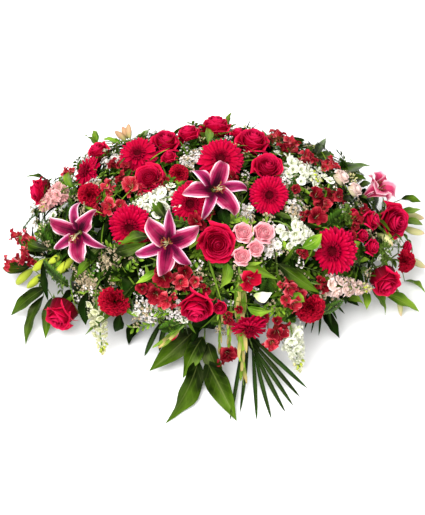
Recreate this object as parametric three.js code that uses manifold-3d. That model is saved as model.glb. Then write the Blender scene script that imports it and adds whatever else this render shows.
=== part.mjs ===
// A casket spray: a long, low mound of cut flowers and foliage, held by wet foam in a plastic saddle tray.
// Millimetres, +Z up, +X to the right along the spray, +Y to its back.
// The origin is the middle of the flat underside of the tray.
import * as THREE from "three";
import { mergeVertices } from "three/addons/utils/BufferGeometryUtils.js";
import Module from "manifold-3d";

const wasm = await Module();
wasm.setup();

// The saddle tray, open above, and the block of wet foam that sits in it.
const TRAY = { length: 380, depth: 150, height: 34, wall: 2.4 };
const FOAM = { length: 364, depth: 134, top: 92, corner: 10 };
const SEAT_GAP = 0.3;

// The mound that the flower heads lie on: half of an ellipsoid over the tray.
const MOUND = { halfLength: 480, halfDepth: 325, height: 275, base: 30 };
// Flowers are set out across the mound and up its slope, seen from this far above the horizon.
const SLOPE = THREE.MathUtils.degToRad(55);
const LOWEST_HEAD = 48;

// Every stem points at a line inside the foam, along X, and ends this far from it.
const CORE = { height: 56, share: 0.36, stemEnd: 24, straight: 92 };
const STEM_RADIUS = 2.6;
const STEM_SIDES = 3;
const STALK_RADIUS = 1.3;
// A head's flat underside, where a stem or a stalk runs into it.
const BASE_RADIUS = 3.8;
const STALK_BASE_RADIUS = 2.4;

// The room that one plant leaves round another where they press together.
const CLEARANCE = 0.3;
const SMALLEST_EDGE = 0.05;

const X = new THREE.Vector3(1, 0, 0);
const UP_SLOPE = new THREE.Vector3(0, Math.sin(SLOPE), Math.cos(SLOPE));
const OUT = new THREE.Vector3(0, -Math.cos(SLOPE), Math.sin(SLOPE));

const vec = (x, y, z) => new THREE.Vector3(x, y, z);
const mix = (a, b, t) => a.clone().lerp(b, t);
const along = (p, d, length) => p.clone().addScaledVector(d, length);
const radians = THREE.MathUtils.degToRad;

// A seeded draw from 0 to 1, so that the spray is the same on every run.
function seededRandom(seed) {
  let state = seed >>> 0;
  return () => {
    state = (Math.imul(state, 1664525) + 1013904223) >>> 0;
    return state / 4294967296;
  };
}

// Solids

// Triangles between two rings, where one count is a whole multiple of the other.
// Polygon order is a, b, next b, next a.
function stitch(a, b, faces) {
  const ratio = Math.max(a.length, b.length) / Math.min(a.length, b.length);
  const few = a.length <= b.length ? a : b;
  const many = few === a ? b : a;
  for (let i = 0; i < few.length; i++) {
    for (let j = 0; j < ratio; j++) {
      const from = many[i * ratio + j];
      const to = many[(i * ratio + j + 1) % many.length];
      faces.push(few === a ? [few[i], from, to] : [few[i], to, from]);
    }
    if (few.length === 1) continue;
    const corner = many[((i + 1) * ratio) % many.length];
    const next = few[(i + 1) % few.length];
    faces.push(few === a ? [few[i], corner, next] : [few[i], next, corner]);
  }
}

// Triangles between two rings of one count, cut along the shorter diagonal of each four-sided gap.
function stitchShorter(a, b, faces, points) {
  for (let i = 0; i < a.length; i++) {
    const next = (i + 1) % a.length;
    if (points[a[i]].distanceTo(points[b[next]]) < points[a[next]].distanceTo(points[b[i]])) {
      faces.push([a[i], b[i], b[next]], [a[i], b[next], a[next]]);
    } else {
      faces.push([a[i], b[i], a[next]], [a[next], b[i], b[next]]);
    }
  }
}

// A closed solid through rings of points, from one end to the other. A ring of one point is a tip.
// thin makes the two sides of a thin, folded petal fold along the same lines.
function loft(rings, thin = false) {
  const points = rings.flat();
  const faces = [];
  let start = 0;
  const indices = rings.map((ring) => ring.map(() => start++));
  for (let i = 0; i + 1 < indices.length; i++) {
    const [a, b] = [indices[i], indices[i + 1]];
    if (thin && a.length === b.length) stitchShorter(a, b, faces, points);
    else stitch(a, b, faces);
  }
  const first = indices[0];
  const last = indices[indices.length - 1];
  for (let i = 1; i + 1 < first.length; i++) faces.push([first[0], first[i], first[i + 1]]);
  for (let i = 1; i + 1 < last.length; i++) faces.push([last[0], last[i + 1], last[i]]);

  let volume = 0;
  for (const [a, b, c] of faces) volume += points[a].dot(points[b].clone().cross(points[c]));
  const geometry = new THREE.BufferGeometry();
  geometry.setAttribute("position", new THREE.Float32BufferAttribute(points.flatMap((p) => p.toArray()), 3));
  geometry.setIndex(faces.flatMap((f) => (volume < 0 ? [f[0], f[2], f[1]] : f)));
  return toSolid(geometry);
}

function toSolid(geometry) {
  const bare = geometry.clone();
  bare.deleteAttribute("normal");
  bare.deleteAttribute("uv");
  const merged = mergeVertices(bare, 1e-4);
  return new wasm.Manifold(
    new wasm.Mesh({
      numProp: 3,
      vertProperties: merged.attributes.position.array,
      triVerts: new Uint32Array(merged.index.array),
    }),
  );
}

function toGeometry(solid) {
  const mesh = solid.getMesh();
  const positions = new Float32Array(mesh.numVert * 3);
  for (let i = 0; i < mesh.numVert; i++) {
    for (let k = 0; k < 3; k++) positions[i * 3 + k] = mesh.vertProperties[i * mesh.numProp + k];
  }
  const geometry = new THREE.BufferGeometry();
  geometry.setAttribute("position", new THREE.BufferAttribute(positions, 3));
  geometry.setIndex(new THREE.BufferAttribute(mesh.triVerts, 1));
  return geometry.toNonIndexed();
}

const fuse = (solids) => wasm.Manifold.union(solids);
const moved = (solid, matrix) => solid.transform(matrix.elements);

// The largest of a solid's separate pieces: a loose scrap is dropped.
function largest(solid) {
  const pieces = solid.decompose();
  return pieces.reduce((best, piece) => (piece.volume() > best.volume() ? piece : best));
}

// A ring of points round +Z. radius and height may be numbers or functions of the point's index.
function ring(count, radius, height, turn = 0) {
  const value = (v, i) => (typeof v === "function" ? v(i) : v);
  return Array.from({ length: count }, (_, i) => {
    const angle = ((i + turn) / count) * 2 * Math.PI;
    const r = value(radius, i);
    return vec(r * Math.cos(angle), r * Math.sin(angle), value(height, i));
  });
}

// A tube along points. sides is the count of its flat faces.
function tube(path, radius, sides = STEM_SIDES) {
  const radii = Array.isArray(radius) ? radius : path.map(() => radius);
  let side = null;
  const rings = path.map((point, k) => {
    const before = path[Math.max(0, k - 1)];
    const after = path[Math.min(path.length - 1, k + 1)];
    const heading = after.clone().sub(before).normalize();
    if (!side) side = Math.abs(heading.z) < 0.9 ? vec(0, 0, 1) : vec(0, 1, 0);
    side = side.clone().addScaledVector(heading, -side.dot(heading)).normalize();
    const other = heading.clone().cross(side);
    return Array.from({ length: sides }, (_, i) => {
      const angle = (i / sides) * 2 * Math.PI;
      return point
        .clone()
        .addScaledVector(side, radii[k] * Math.cos(angle))
        .addScaledVector(other, radii[k] * Math.sin(angle));
    });
  });
  return loft(rings);
}

// A thin leaf or petal. Each station is a point, half the width as a vector, half the thickness as a vector,
// and how far the two edges are raised along the thickness.
function blade(stations, tip) {
  const rings = stations.map(({ at, half, thick, lift }) => {
    const raise = thick.clone().normalize().multiplyScalar(lift ?? 0);
    return [
      at.clone().sub(half).add(raise),
      at.clone().add(thick),
      at.clone().add(half).add(raise),
      at.clone().sub(thick),
    ];
  });
  return loft([...rings, [tip]]);
}

// Outlines of half a leaf: how far along, and how wide as a share of the full width.
const LEAF_SHAPE = [
  [0, 0.14],
  [0.32, 0.94],
  [0.64, 0.84],
];
const STRAP_SHAPE = [
  [0, 0.4],
  [0.5, 1],
];
const LEAF_HALF_THICKNESS = 0.5;
const PETIOLE_RADIUS = 1.2;

// A leaf on its own stalk from `root`: its blade runs from one point to another, bowed by `arch` towards
// its upper side, its edges raised by `fold`.
function leaf(root, from, to, { width, arch, upper, fold, grow, shape }) {
  const run = to.clone().sub(from);
  const heading = run.clone().normalize();
  const petiole = from.clone().sub(root);
  const frame = (direction) => {
    const across = direction.clone().cross(upper).normalize();
    return [across, across.clone().cross(direction).normalize()];
  };
  const stations = [];
  if (petiole.length() < 3) {
    from = along(from, heading, -3);
  } else {
    const [across, normal] = frame(petiole.clone().normalize());
    const radius = PETIOLE_RADIUS + grow;
    stations.push({ at: root, half: across.multiplyScalar(radius), thick: normal.multiplyScalar(radius) });
  }
  const [across, normal] = frame(heading);
  for (const [t, w] of shape) {
    stations.push({
      at: along(from, run, t).addScaledVector(normal, arch * 4 * t * (1 - t)),
      half: across.clone().multiplyScalar((w * width) / 2 + grow),
      thick: normal.clone().multiplyScalar((t ? LEAF_HALF_THICKNESS : PETIOLE_RADIUS) + grow),
      lift: t ? fold * w : 0,
    });
  }
  return blade(stations, along(to, heading, grow));
}

// Placing

// The point of the mound that lies across and up its slope, raised by lift towards the viewer.
function onMound(across, up, lift = 0, lowest = LOWEST_HEAD) {
  const p = vec(across, up * UP_SLOPE.y, up * UP_SLOPE.z - MOUND.base);
  const scale = vec(1 / MOUND.halfLength, 1 / MOUND.halfDepth, 1 / MOUND.height);
  const q = p.clone().multiply(scale);
  const d = OUT.clone().multiply(scale);
  const a = d.dot(d);
  const b = q.dot(d);
  const room = Math.max(0, b * b - a * (q.dot(q) - 1));
  let reach = (-b + Math.sqrt(room)) / a;
  const height = p.z + MOUND.base + reach * OUT.z;
  if (height < lowest) reach += (lowest - height) / OUT.z;
  p.z += MOUND.base;
  return along(p, OUT, reach + lift);
}

// The point of the upper mound above X and Y, raised by lift.
function overMound(x, y, lift = 0) {
  const rest = 1 - (x / MOUND.halfLength) ** 2 - (y / MOUND.halfDepth) ** 2;
  const p = vec(x, y, MOUND.base + MOUND.height * Math.sqrt(Math.max(0, rest)));
  return along(p, outwardAt(p), lift);
}

const centreOf = (points) => points.reduce((sum, p) => sum.add(p), vec(0, 0, 0)).divideScalar(points.length);
const coreBelow = (p) => vec(p.x * CORE.share, 0, CORE.height);
const outwardAt = (p) => p.clone().sub(coreBelow(p)).normalize();

// A facing, in degrees to the right of the viewer and up from there.
function facing([right, upward]) {
  const a = radians(right);
  const b = radians(upward);
  return X.clone()
    .multiplyScalar(Math.sin(a))
    .addScaledVector(UP_SLOPE, Math.cos(a) * Math.sin(b))
    .addScaledVector(OUT, Math.cos(a) * Math.cos(b));
}

// The matrix that stands a head, modelled facing +Z, at a point, facing a direction and spun about it.
function standing(at, direction, spin = 0) {
  const side = X.clone().addScaledVector(direction, -X.dot(direction));
  if (side.length() < 0.2) side.copy(UP_SLOPE).addScaledVector(direction, -UP_SLOPE.dot(direction));
  side.normalize();
  const other = direction.clone().cross(side);
  return new THREE.Matrix4()
    .makeBasis(side, other, direction)
    .multiply(new THREE.Matrix4().makeRotationZ(radians(spin)))
    .setPosition(at);
}

// A stem's path: straight out of the foam, then curved so that it arrives at a point along a direction.
// rootShift moves its foot along the foam, clear of another stem's.
const STRAIGHT_ENOUGH = Math.cos(radians(20));
function stemPath(to, arriving, rootShift = 0) {
  const core = coreBelow(to);
  core.x += rootShift;
  const out = to.clone().sub(core).normalize();
  const start = along(core, out, CORE.stemEnd);
  if (out.dot(arriving) > STRAIGHT_ENOUGH) return [start, to];
  const leave = along(core, out, CORE.straight);
  const span = to.distanceTo(leave);
  const bend = new THREE.CubicBezierCurve3(
    leave,
    along(leave, out, span * 0.4),
    along(to, arriving, -span * 0.4),
    to,
  );
  return [start, leave, bend.getPoint(0.6), to];
}

// Flower heads, each facing +Z with its base at the origin. grow swells a head on every side.

// Swelled, a ruffled head has its rims moved out and up, and the valleys between them filled.
const RIM_RISE = 2;
const VALLEY_RISE = 5;

// A rose: rings of petals that stand up and curl over, one inside the other, round a bud.
// Three points make a petal: its tucked edge, its middle and the edge that laps over the next.
const ROSE_DEPTH = 0.8;
function rose(size, grow = 0) {
  const R = size / 2;
  const H = size * ROSE_DEPTH;
  const lap = (r, shift, wave) => (i) => R * r * (1 + wave * [-1, 0.35, 1][(i + shift) % 3]) + grow;
  const rim = (z, shift, dip) => (i) => H * (z - dip * [1, 0, 0.35][(i + shift) % 3]) + RIM_RISE * grow;
  const valley = (z) => z * H + VALLEY_RISE * grow;
  return loft([
    ring(4, BASE_RADIUS + grow, -grow),
    ring(12, lap(0.78, 0, 0.03), 0.38 * H - grow),
    ring(12, lap(1.0, 0, 0.07), rim(0.74, 0, 0.1)),
    ring(12, lap(0.8, 0, 0.03), valley(0.66)),
    ring(12, lap(0.72, 1, 0.08), rim(0.95, 1, 0.08)),
    ring(12, lap(0.52, 1, 0.04), valley(0.76)),
    ring(12, lap(0.44, 2, 0.1), rim(1.0, 2, 0.05)),
    ring(4, 0.26 * R, valley(0.82)),
    ring(4, 0.17 * R, valley(0.98), 0.5),
    [vec(0, 0, valley(0.86))],
  ]);
}

// A small rose of a branched stem, with one ring of open petals round a bud.
function sprayRose(size, grow = 0) {
  const R = size / 2;
  const H = size * ROSE_DEPTH;
  const lobe = (r, wave) => (i) => R * r * (1 + wave * (i % 2 ? 1 : -1)) + grow;
  return loft([
    ring(4, STALK_BASE_RADIUS + grow, -grow),
    ring(8, lobe(0.74, 0.02), 0.3 * H - grow),
    ring(8, lobe(1, 0.09), 0.72 * H + RIM_RISE * grow),
    ring(8, 0.62 * R, 0.62 * H + VALLEY_RISE * grow),
    ring(8, lobe(0.48, 0.14), 0.98 * H + RIM_RISE * grow),
    ring(4, 0.22 * R, 0.74 * H + VALLEY_RISE * grow),
    [vec(0, 0, 0.96 * H + VALLEY_RISE * grow)],
  ]);
}

// A carnation: a tight calyx, then ring on ring of petals with pinked edges.
const CARNATION_DEPTH = 0.72;
function carnation(size, grow = 0) {
  const R = size / 2;
  const H = size * CARNATION_DEPTH;
  const frill = (r, step) => (i) => R * r * (1 + 0.07 * ((i + step) % 2 ? 1 : -1)) + grow;
  const crest = (z, step, rise) => (i) => H * (z + 0.05 * ((i + step) % 2 ? 1 : -1)) + rise * grow;
  return loft([
    ring(4, 0.2 * R + grow, -grow),
    ring(4, 0.26 * R + grow, 0.34 * H - grow),
    ring(16, frill(0.98, 0), crest(0.56, 0, RIM_RISE)),
    ring(16, frill(0.8, 1), crest(0.6, 0, VALLEY_RISE)),
    ring(16, frill(0.74, 0), crest(0.86, 1, RIM_RISE)),
    ring(16, frill(0.52, 1), crest(0.78, 1, VALLEY_RISE)),
    ring(8, frill(0.4, 0), crest(1.0, 0, RIM_RISE)),
    [vec(0, 0, 0.84 * H + VALLEY_RISE * grow)],
  ]);
}

// A gerbera: one wheel of blunt ray petals, every other one raised, round a low disc with a sunk eye.
// A petal's outer corners stand this share of its pitch from its middle.
const GERBERA_PETALS = 18;
const GERBERA_DEPTH = 0.16;
const PETAL_HALF = 0.32;
function gerbera(size, grow = 0) {
  const R = size / 2;
  const half = PETAL_HALF + (grow * GERBERA_PETALS) / (2 * Math.PI * R);
  const rays = Array.from({ length: GERBERA_PETALS * 3 }, (_, i) => {
    const corner = i % 3;
    const petal = Math.floor(i / 3);
    const angle = ((petal + [-0.5, -half, half][corner]) / GERBERA_PETALS) * 2 * Math.PI;
    const r = R * (corner ? 0.97 : 0.48) + grow;
    const raised = corner ? (petal % 2 ? 0.022 : -0.022) : 0;
    const rise = corner ? 0.05 : 0.015;
    return vec(r * Math.cos(angle), r * Math.sin(angle), size * (GERBERA_DEPTH * 0.55 + rise + raised));
  });
  return loft([
    ring(3, 1.3 * BASE_RADIUS + grow, -grow),
    ring(GERBERA_PETALS, 0.33 * R, GERBERA_DEPTH * 0.25 * size - grow),
    rays,
    ring(GERBERA_PETALS, 0.33 * R, GERBERA_DEPTH * 0.72 * size + grow),
    ring(9, 0.27 * R, GERBERA_DEPTH * 0.98 * size + grow),
    [vec(0, 0, GERBERA_DEPTH * 0.7 * size + grow)],
  ]);
}

// An open star lily: six pointed petals, every other one broad, rolled back at the tip, and six stamens.
const LILY_THROAT = 0.3;
function lily(size, grow = 0) {
  const R = size / 2;
  const throat = size * LILY_THROAT;
  const thick = 1 + grow;
  const half = (grow * 6) / (2 * Math.PI * R);
  // Corners of a petal: the notch before it, its left shoulder, its middle line, its right shoulder.
  const corners = (radii, heights, raised) =>
    Array.from({ length: 24 }, (_, i) => {
      const corner = i % 4;
      const petal = Math.floor(i / 4);
      const shoulder = (petal % 2 ? 0.27 : 0.4) + half;
      const angle = ((petal + [-0.5, -shoulder, 0, shoulder][corner]) / 6) * 2 * Math.PI;
      const r = R * radii[corner] + (raised ? 0 : grow);
      return vec(r * Math.cos(angle), r * Math.sin(angle), throat * heights[corner] + raised);
    });
  const star = loft(
    [
      ring(6, BASE_RADIUS + grow, -grow, -0.5),
      corners([0.2, 0.34, 0.5, 0.34], [0.66, 0.9, 1.02, 0.9], -thick),
      corners([0.26, 0.6, 1, 0.6], [0.8, 1.16, 0.65, 1.16], 0),
      corners([0.2, 0.34, 0.5, 0.34], [0.66, 0.9, 1.02, 0.9], thick),
      ring(6, 0.1 * R, 0.44 * throat + thick, -0.5),
      [vec(0, 0, 0.36 * throat + thick)],
    ],
    true,
  );
  const stamens = Array.from({ length: 6 }, (_, k) => {
    const angle = ((k + 0.5) / 6) * 2 * Math.PI;
    const heading = vec(0.24 * Math.cos(angle), 0.24 * Math.sin(angle), 1).normalize();
    return moved(stalked(5, size * 0.5, 3, grow), standing(vec(0, 0, 0.08 * size), heading));
  });
  const pistil = stalked(6, size * 0.54, 4, grow).translate([0, 0, 0.05 * size]);
  return fuse([star, pistil, ...stamens]);
}

// A small lily-like floret with six blunt petals, as on an alstroemeria or a gladiolus.
const TRUMPET_DEPTH = 0.62;
function trumpet(size, grow = 0) {
  const R = size / 2;
  const H = size * TRUMPET_DEPTH;
  const half = 0.25 + (grow * 6) / (2 * Math.PI * R);
  const petals = Array.from({ length: 18 }, (_, i) => {
    const corner = i % 3;
    const petal = Math.floor(i / 3);
    const angle = ((petal + [-0.5, -half, half][corner]) / 6) * 2 * Math.PI;
    const r = R * (corner ? 1 : 0.52) + grow;
    const z = corner ? 0.95 + (petal % 2 ? 0.06 : -0.05) : 0.72;
    return vec(r * Math.cos(angle), r * Math.sin(angle), H * z);
  });
  return loft([
    ring(3, STALK_BASE_RADIUS + grow, -grow),
    ring(6, 0.3 * R + grow, 0.45 * H - grow),
    petals,
    ring(6, 0.24 * R, 0.7 * H + grow),
    [vec(0, 0, 0.6 * H + grow)],
  ]);
}

// A closed bud, round in section, pointed at its tip.
function bud(length, width, grow = 0) {
  return loft([
    ring(4, STALK_RADIUS + grow, -grow),
    ring(4, width * 0.48 + grow, length * 0.4 - grow),
    ring(4, width * 0.42 + grow, length * 0.7),
    [vec(0, 0, length + grow)],
  ]);
}

// A tuft of filler: tiny florets as peaks that stand up round a middle, uneven by a seeded draw.
function tuft(spread, depth, seed, grow = 0) {
  const random = seededRandom(seed);
  const uneven = () => 0.88 + 0.24 * random();
  const peaks = (count, shift, far, near, high, low) => {
    const values = Array.from({ length: count }, (_, i) =>
      (i + shift) % 2 ? [near * uneven(), low] : [far * uneven(), high * uneven()],
    );
    return ring(
      count,
      (i) => spread * values[i][0] + grow,
      (i) => depth * values[i][1] + grow,
    );
  };
  return loft([
    ring(3, STALK_BASE_RADIUS + grow, -grow),
    peaks(18, 0, 1, 0.62, 0.72, 0.3),
    peaks(18, 1, 0.6, 0.5, 0.98, 0.42),
    peaks(6, 0, 0.3, 0.26, 1.08, 0.55),
    [vec(0, 0, depth + grow)],
  ]);
}

// A spike of stock along +Z: whorls of ruffled florets that narrow to a tip of buds.
const WHORLS = 5;
const STOCK_GIRTH = 54;
function stockSpike(length, girth, grow = 0) {
  const rings = [ring(4, STALK_BASE_RADIUS + grow, -grow)];
  for (let k = 0; k < WHORLS; k++) {
    const t = k / WHORLS;
    const R = (girth / 2) * (1 - 0.5 * t * t - 0.15 * t);
    const z = length * (0.08 + 0.82 * t);
    const pitch = (length * 0.82) / WHORLS;
    rings.push(
      ring(
        12,
        (i) => R * (i % 2 ? 0.66 : 1) + grow,
        (i) => z + pitch * (i % 2 ? 0.3 : 0) + (k ? 0 : -grow),
        k / 2,
      ),
      ring(4, 0.42 * R + grow, z + 0.6 * pitch, k / 6),
    );
  }
  return loft([...rings, [vec(0, 0, length + grow)]]);
}

// A stamen or a pistil: a thread from the origin along +Z that widens to its end.
const THREAD_RADIUS = 0.7;
function stalked(size, length, sides, grow = 0) {
  const foot = ring(sides, THREAD_RADIUS + grow, 0);
  const widest = ring(sides, size / 2 + grow, length);
  return loft([foot, widest, [vec(0, 0, length + size * 0.35 + grow)]]);
}

// Plants. Each returns its heads and its stems, swelled by grow.
// Stems run unbroken under other plants' heads.

const HEADS = {
  rose: { make: rose, depth: ROSE_DEPTH },
  sprayRose: { make: sprayRose, depth: ROSE_DEPTH },
  carnation: { make: carnation, depth: CARNATION_DEPTH },
  gerbera: { make: gerbera, depth: GERBERA_DEPTH },
  lily: { make: lily, depth: LILY_THROAT },
  trumpet: { make: trumpet, depth: TRUMPET_DEPTH },
};

// Where a head stands: its middle is on the mound, and its base is half its depth behind that.
function headPlace(kind, { across, up, y, size, lift = 0, face, spin = 0 }) {
  const middle = y === undefined ? onMound(across, up, lift) : overMound(across, y, lift);
  const direction = face ? facing(face) : outwardAt(middle);
  const base = along(middle, direction, (-HEADS[kind].depth * size) / 2);
  return { base, direction, matrix: standing(base, direction, spin) };
}

// How far a stem runs into a head.
const SEAT = 2;
const THIN_STEM_RADIUS = 2;

// Where side stalk i leaves a stem that ends at a crotch, each one lower than the last.
const forkPoint = (crotch, outward, i) => along(crotch, outward, -5 - 7 * i);

// One head on its stem from the foam. Further heads stand on side stems that fork from the first.
function bloom({ kind, heads, rootShift = 0 }, grow) {
  const places = heads.map((head) => headPlace(kind, head));
  const pathTo = ({ base, direction }) => stemPath(along(base, direction, SEAT), direction, rootShift);
  const paths = places.map(pathTo);
  const [root, above] = paths[0];
  const fork = along(root, above.clone().sub(root).normalize(), CORE.straight - CORE.stemEnd);
  for (const path of paths.slice(1)) path.splice(0, path.length > 2 ? 2 : 1, fork);
  return {
    heads: heads.map((head, i) => moved(HEADS[kind].make(head.size, grow), places[i].matrix)),
    stems: paths.map((path) => tube(path, STEM_RADIUS + grow)),
  };
}

// One stem that forks, `fork` below the heads, into a thin stalk for each of them.
function cluster({ kind, heads, fork = 55, rootShift = 0 }, grow) {
  const places = heads.map((head) => headPlace(kind, head));
  const middle = centreOf(places.map((place) => place.base));
  const crotch = along(middle, outwardAt(middle), -fork);
  return {
    heads: heads.map((head, i) => moved(HEADS[kind].make(head.size, grow), places[i].matrix)),
    stems: [
      tube(stemPath(crotch, outwardAt(middle), rootShift), STEM_RADIUS + grow),
      ...places.map(({ base, direction }, i) =>
        tube([forkPoint(crotch, outwardAt(middle), i), along(base, direction, SEAT)], STALK_RADIUS + grow),
      ),
    ],
  };
}

// A spike of stock from one point to another.
function spike({ from, to, rootShift = 0 }, grow) {
  const foot = onMound(...from);
  const tip = onMound(...to);
  const axis = tip.clone().sub(foot).normalize();
  return {
    heads: [moved(stockSpike(foot.distanceTo(tip), STOCK_GIRTH, grow), standing(foot, axis))],
    stems: [tube(stemPath(along(foot, axis, SEAT), axis, rootShift), THIN_STEM_RADIUS + grow)],
  };
}

// Gladiolus spikes that leave one crotch: florets and buds in two ranks, open at the foot and closed at
// the tip.
const LARGEST_BUD = 40;
function gladiolus({ spikes, rootShift = 0 }, grow) {
  const first = onMound(...spikes[0].from, -4);
  const inward = outwardAt(first);
  const crotch = along(first, inward, -50);
  const heads = [];
  const stems = [tube(stemPath(crotch, inward, rootShift), STEM_RADIUS + grow)];
  for (const { from, to, florets, lift = 0 } of spikes) {
    const foot = onMound(...from, lift - 14, 14);
    const tip = onMound(...to, lift, 14);
    const axis = tip.clone().sub(foot).normalize();
    const rank = axis.clone().cross(OUT).normalize();
    const radii = [STEM_RADIUS, THIN_STEM_RADIUS, STALK_RADIUS].map((r) => r + grow);
    stems.push(tube([forkPoint(crotch, inward, 0), foot, tip], radii));
    florets.forEach(([t, size, turn], i) => {
      const lean = axis.clone().multiplyScalar(size > LARGEST_BUD ? 0.25 : 1.3);
      lean.add(OUT).addScaledVector(rank, turn ?? (i % 2 ? 0.7 : -0.7));
      lean.normalize();
      const made = size > LARGEST_BUD ? trumpet(size, grow) : bud(size, size * 0.42, grow);
      heads.push(moved(made, standing(mix(foot, tip, t), lean, 20 * i)));
    });
  }
  return { heads, stems };
}

// Tufts of filler at one or more places of the mound, on stalks that fork from one stem.
const TUFT_SINK = 4;
const FIRST_SEED = 3;
function filler({ centres, spread, depth = 26, fork = 46, rootShift = 0 }, grow) {
  const places = centres.map(([across, up]) => {
    const top = onMound(across, up, -TUFT_SINK, 20);
    const direction = outwardAt(top);
    return { base: along(top, direction, -depth), direction };
  });
  const middle = centreOf(places.map((place) => place.base));
  const inward = outwardAt(middle);
  const crotch = along(middle, inward, -fork);
  const single = places.length === 1;
  const main = single ? along(places[0].base, places[0].direction, SEAT) : crotch;
  const stems = [tube(stemPath(main, inward, rootShift), THIN_STEM_RADIUS + grow)];
  places.forEach(({ base, direction }, i) => {
    if (single) return;
    const from = forkPoint(crotch, inward, i);
    stems.push(tube([from, along(base, direction, SEAT)], STALK_RADIUS + grow));
  });
  return {
    heads: places.map(({ base, direction }, i) =>
      moved(tuft(spread, depth, FIRST_SEED + i, grow), standing(base, direction, 25 * i)),
    ),
    stems,
  };
}

// Leaves, and buds if any, on one leafy stalk. A point is [across, up, height]; without a height, a tip
// lies among the heads and any other point `sink` below them.
const TIP_SINK = 4;
function foliage({ stalk, leaves, buds = [], sink = 30, rootShift = 0 }, grow) {
  const place = ([across, up, height], depth = sink) =>
    height === undefined
      ? onMound(across, up, -depth, 14)
      : vec(across, (up - height * UP_SLOPE.z) / UP_SLOPE.y, height);
  const path = stalk.map((point) => place(point));
  const arriving = path[1].clone().sub(path[0]).normalize();
  const stalkPath = [...stemPath(path[0], arriving, rootShift), ...path.slice(1)];
  const stems = [tube(stalkPath, THIN_STEM_RADIUS + grow)];
  const heads = [];
  for (const [foot, tip, width, shape = LEAF_SHAPE, arch = 8] of leaves) {
    const [from, to] = [place(foot), place(tip, TIP_SINK)];
    const upper = outwardAt(mix(from, to, 0.5)).add(vec(0, 0, 0.6));
    const root = nearestOn(path, from);
    heads.push(leaf(root, from, to, { width, arch, upper, grow, shape, fold: width * 0.06 }));
  }
  for (const [foot, tip, width] of buds) {
    const [from, to] = [place(foot), place(tip, TIP_SINK)];
    const root = nearestOn(path, from);
    const radii = [STALK_RADIUS, width * 0.44, width * 0.5, 1].map((r) => r + grow);
    heads.push(tube([root, mix(from, to, 0.25), mix(from, to, 0.6), to], radii, 4));
  }
  return { heads, stems };
}

// The point of a path that lies nearest to p.
function nearestOn(path, p) {
  let best = path[0];
  for (let i = 0; i + 1 < path.length; i++) {
    const near = new THREE.Line3(path[i], path[i + 1]).closestPointToPoint(p, true, vec(0, 0, 0));
    if (near.distanceTo(p) < best.distanceTo(p)) best = near;
  }
  return best;
}

// Colours: sRGB and roughness

const COLOURS = {
  red: [0xb30a1e, 0.55],
  crimson: [0xb00a2c, 0.6],
  scarlet: [0xc42a22, 0.5],
  magenta: [0xb03a72, 0.5],
  pink: [0xe9a3a6, 0.55],
  blush: [0xe6c3b8, 0.6],
  white: [0xeeeedd, 0.6],
  cream: [0xcdbf9d, 0.7],
  lime: [0xb8c84a, 0.5],
  leaf: [0x3f6b2a, 0.5],
  deepLeaf: [0x24451f, 0.45],
  foam: [0x3c5a3a, 0.95],
  tray: [0x1d3322, 0.4],
};
function material(name) {
  const [color, roughness] = COLOURS[name];
  return new THREE.MeshStandardMaterial({ name, color, roughness, metalness: 0, flatShading: true });
}

// The planting plan. Where two plants meet, the earlier one is whole and the later one makes room.

// A head: across and up the slope, its width, the way it faces if not straight out, how far it stands
// proud, its spin.
const head = (across, up, size, face, lift, spin) => ({ across, up, size, face, lift, spin });
// A head on the far side, placed by X and Y.
const backHead = (across, y, size, lift) => ({ across, y, size, lift });

const LILIES = {
  lily_centre: [head(-101, 45, 164, [0, -8], 46, 18)],
  lily_upper: [head(2, 167, 160, [6, 8], 44, 75)],
  lily_left: [head(-310, 68, 146, [-14, -4], 26, 40)],
};
const ROSES = {
  roses_crown: [
    head(7, 322, 80, [0, 72]),
    head(-58, 304, 60, [-16, 66]),
    head(-113, 284, 72, [4, 50]),
    head(-148, 195, 74, [-8, 12], 10),
  ],
  roses_upper: [head(94, 284, 84, [8, 52]), head(128, 220, 78, [8, 30], 14)],
  roses_centre: [head(9, 42, 92, [6, -5], 14), head(-38, -103, 88, [-3, -52], 18)],
  rose_front_left: [head(-357, -122, 88, [-25, -50])],
  roses_right: [head(404, -45, 82, [20, -46]), head(428, 96, 86, [38, -4])],
  roses_left: [head(-411, 169, 72, [-70, -14]), head(-273, 262, 60, [-30, 55])],
  roses_back: [backHead(-50, 302, 80, -26), backHead(118, 300, 76, -26), backHead(-178, 288, 74, -26)],
};
const GERBERAS = {
  gerbera_top: [head(18, 238, 116, [0, 22], -4)],
  gerberas_upper_left: [head(-176, 252, 98, [-8, 28], 2), head(-296, 212, 88, [-52, 34])],
  gerbera_upper_right: [head(129, 155, 98, [8, -2], 14)],
  gerbera_middle_left: [head(-190, 82, 112, [-12, -18], 4)],
  gerbera_right: [head(282, 26, 120, [-28, -6], 6)],
  gerbera_middle: [head(-52, 136, 100, [-4, -6], -2)],
  gerbera_front: [head(84, -150, 92, [6, -58], 4)],
};
const CARNATIONS = {
  carnation_left: [head(-290, 158, 58, [-12, 8])],
  carnation_lower_left: [head(-230, -94, 74, [-10, -32])],
  carnation_lower_right: [head(226, -110, 72, [14, -36])],
  carnation_upper: [head(-80, 207, 46, [-4, 14], 4)],
  carnation_far_right: [head(458, 2, 56, [52, -10])],
};
const SPRAY_ROSES = {
  spray_roses_red: [
    "red",
    [head(372, 98, 50, undefined, 10), head(350, 62, 34), head(372, 36, 44, undefined, 4)],
  ],
  spray_roses_pink: [
    "pink",
    [
      head(70, 68, 46, undefined, 12),
      head(117, 68, 49, undefined, 12),
      head(98, 32, 36, undefined, 12),
      head(66, 14, 42, undefined, 10),
    ],
  ],
  spray_roses_blush: ["blush", [head(303, 199, 44), head(335, 170, 40)]],
};
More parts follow.
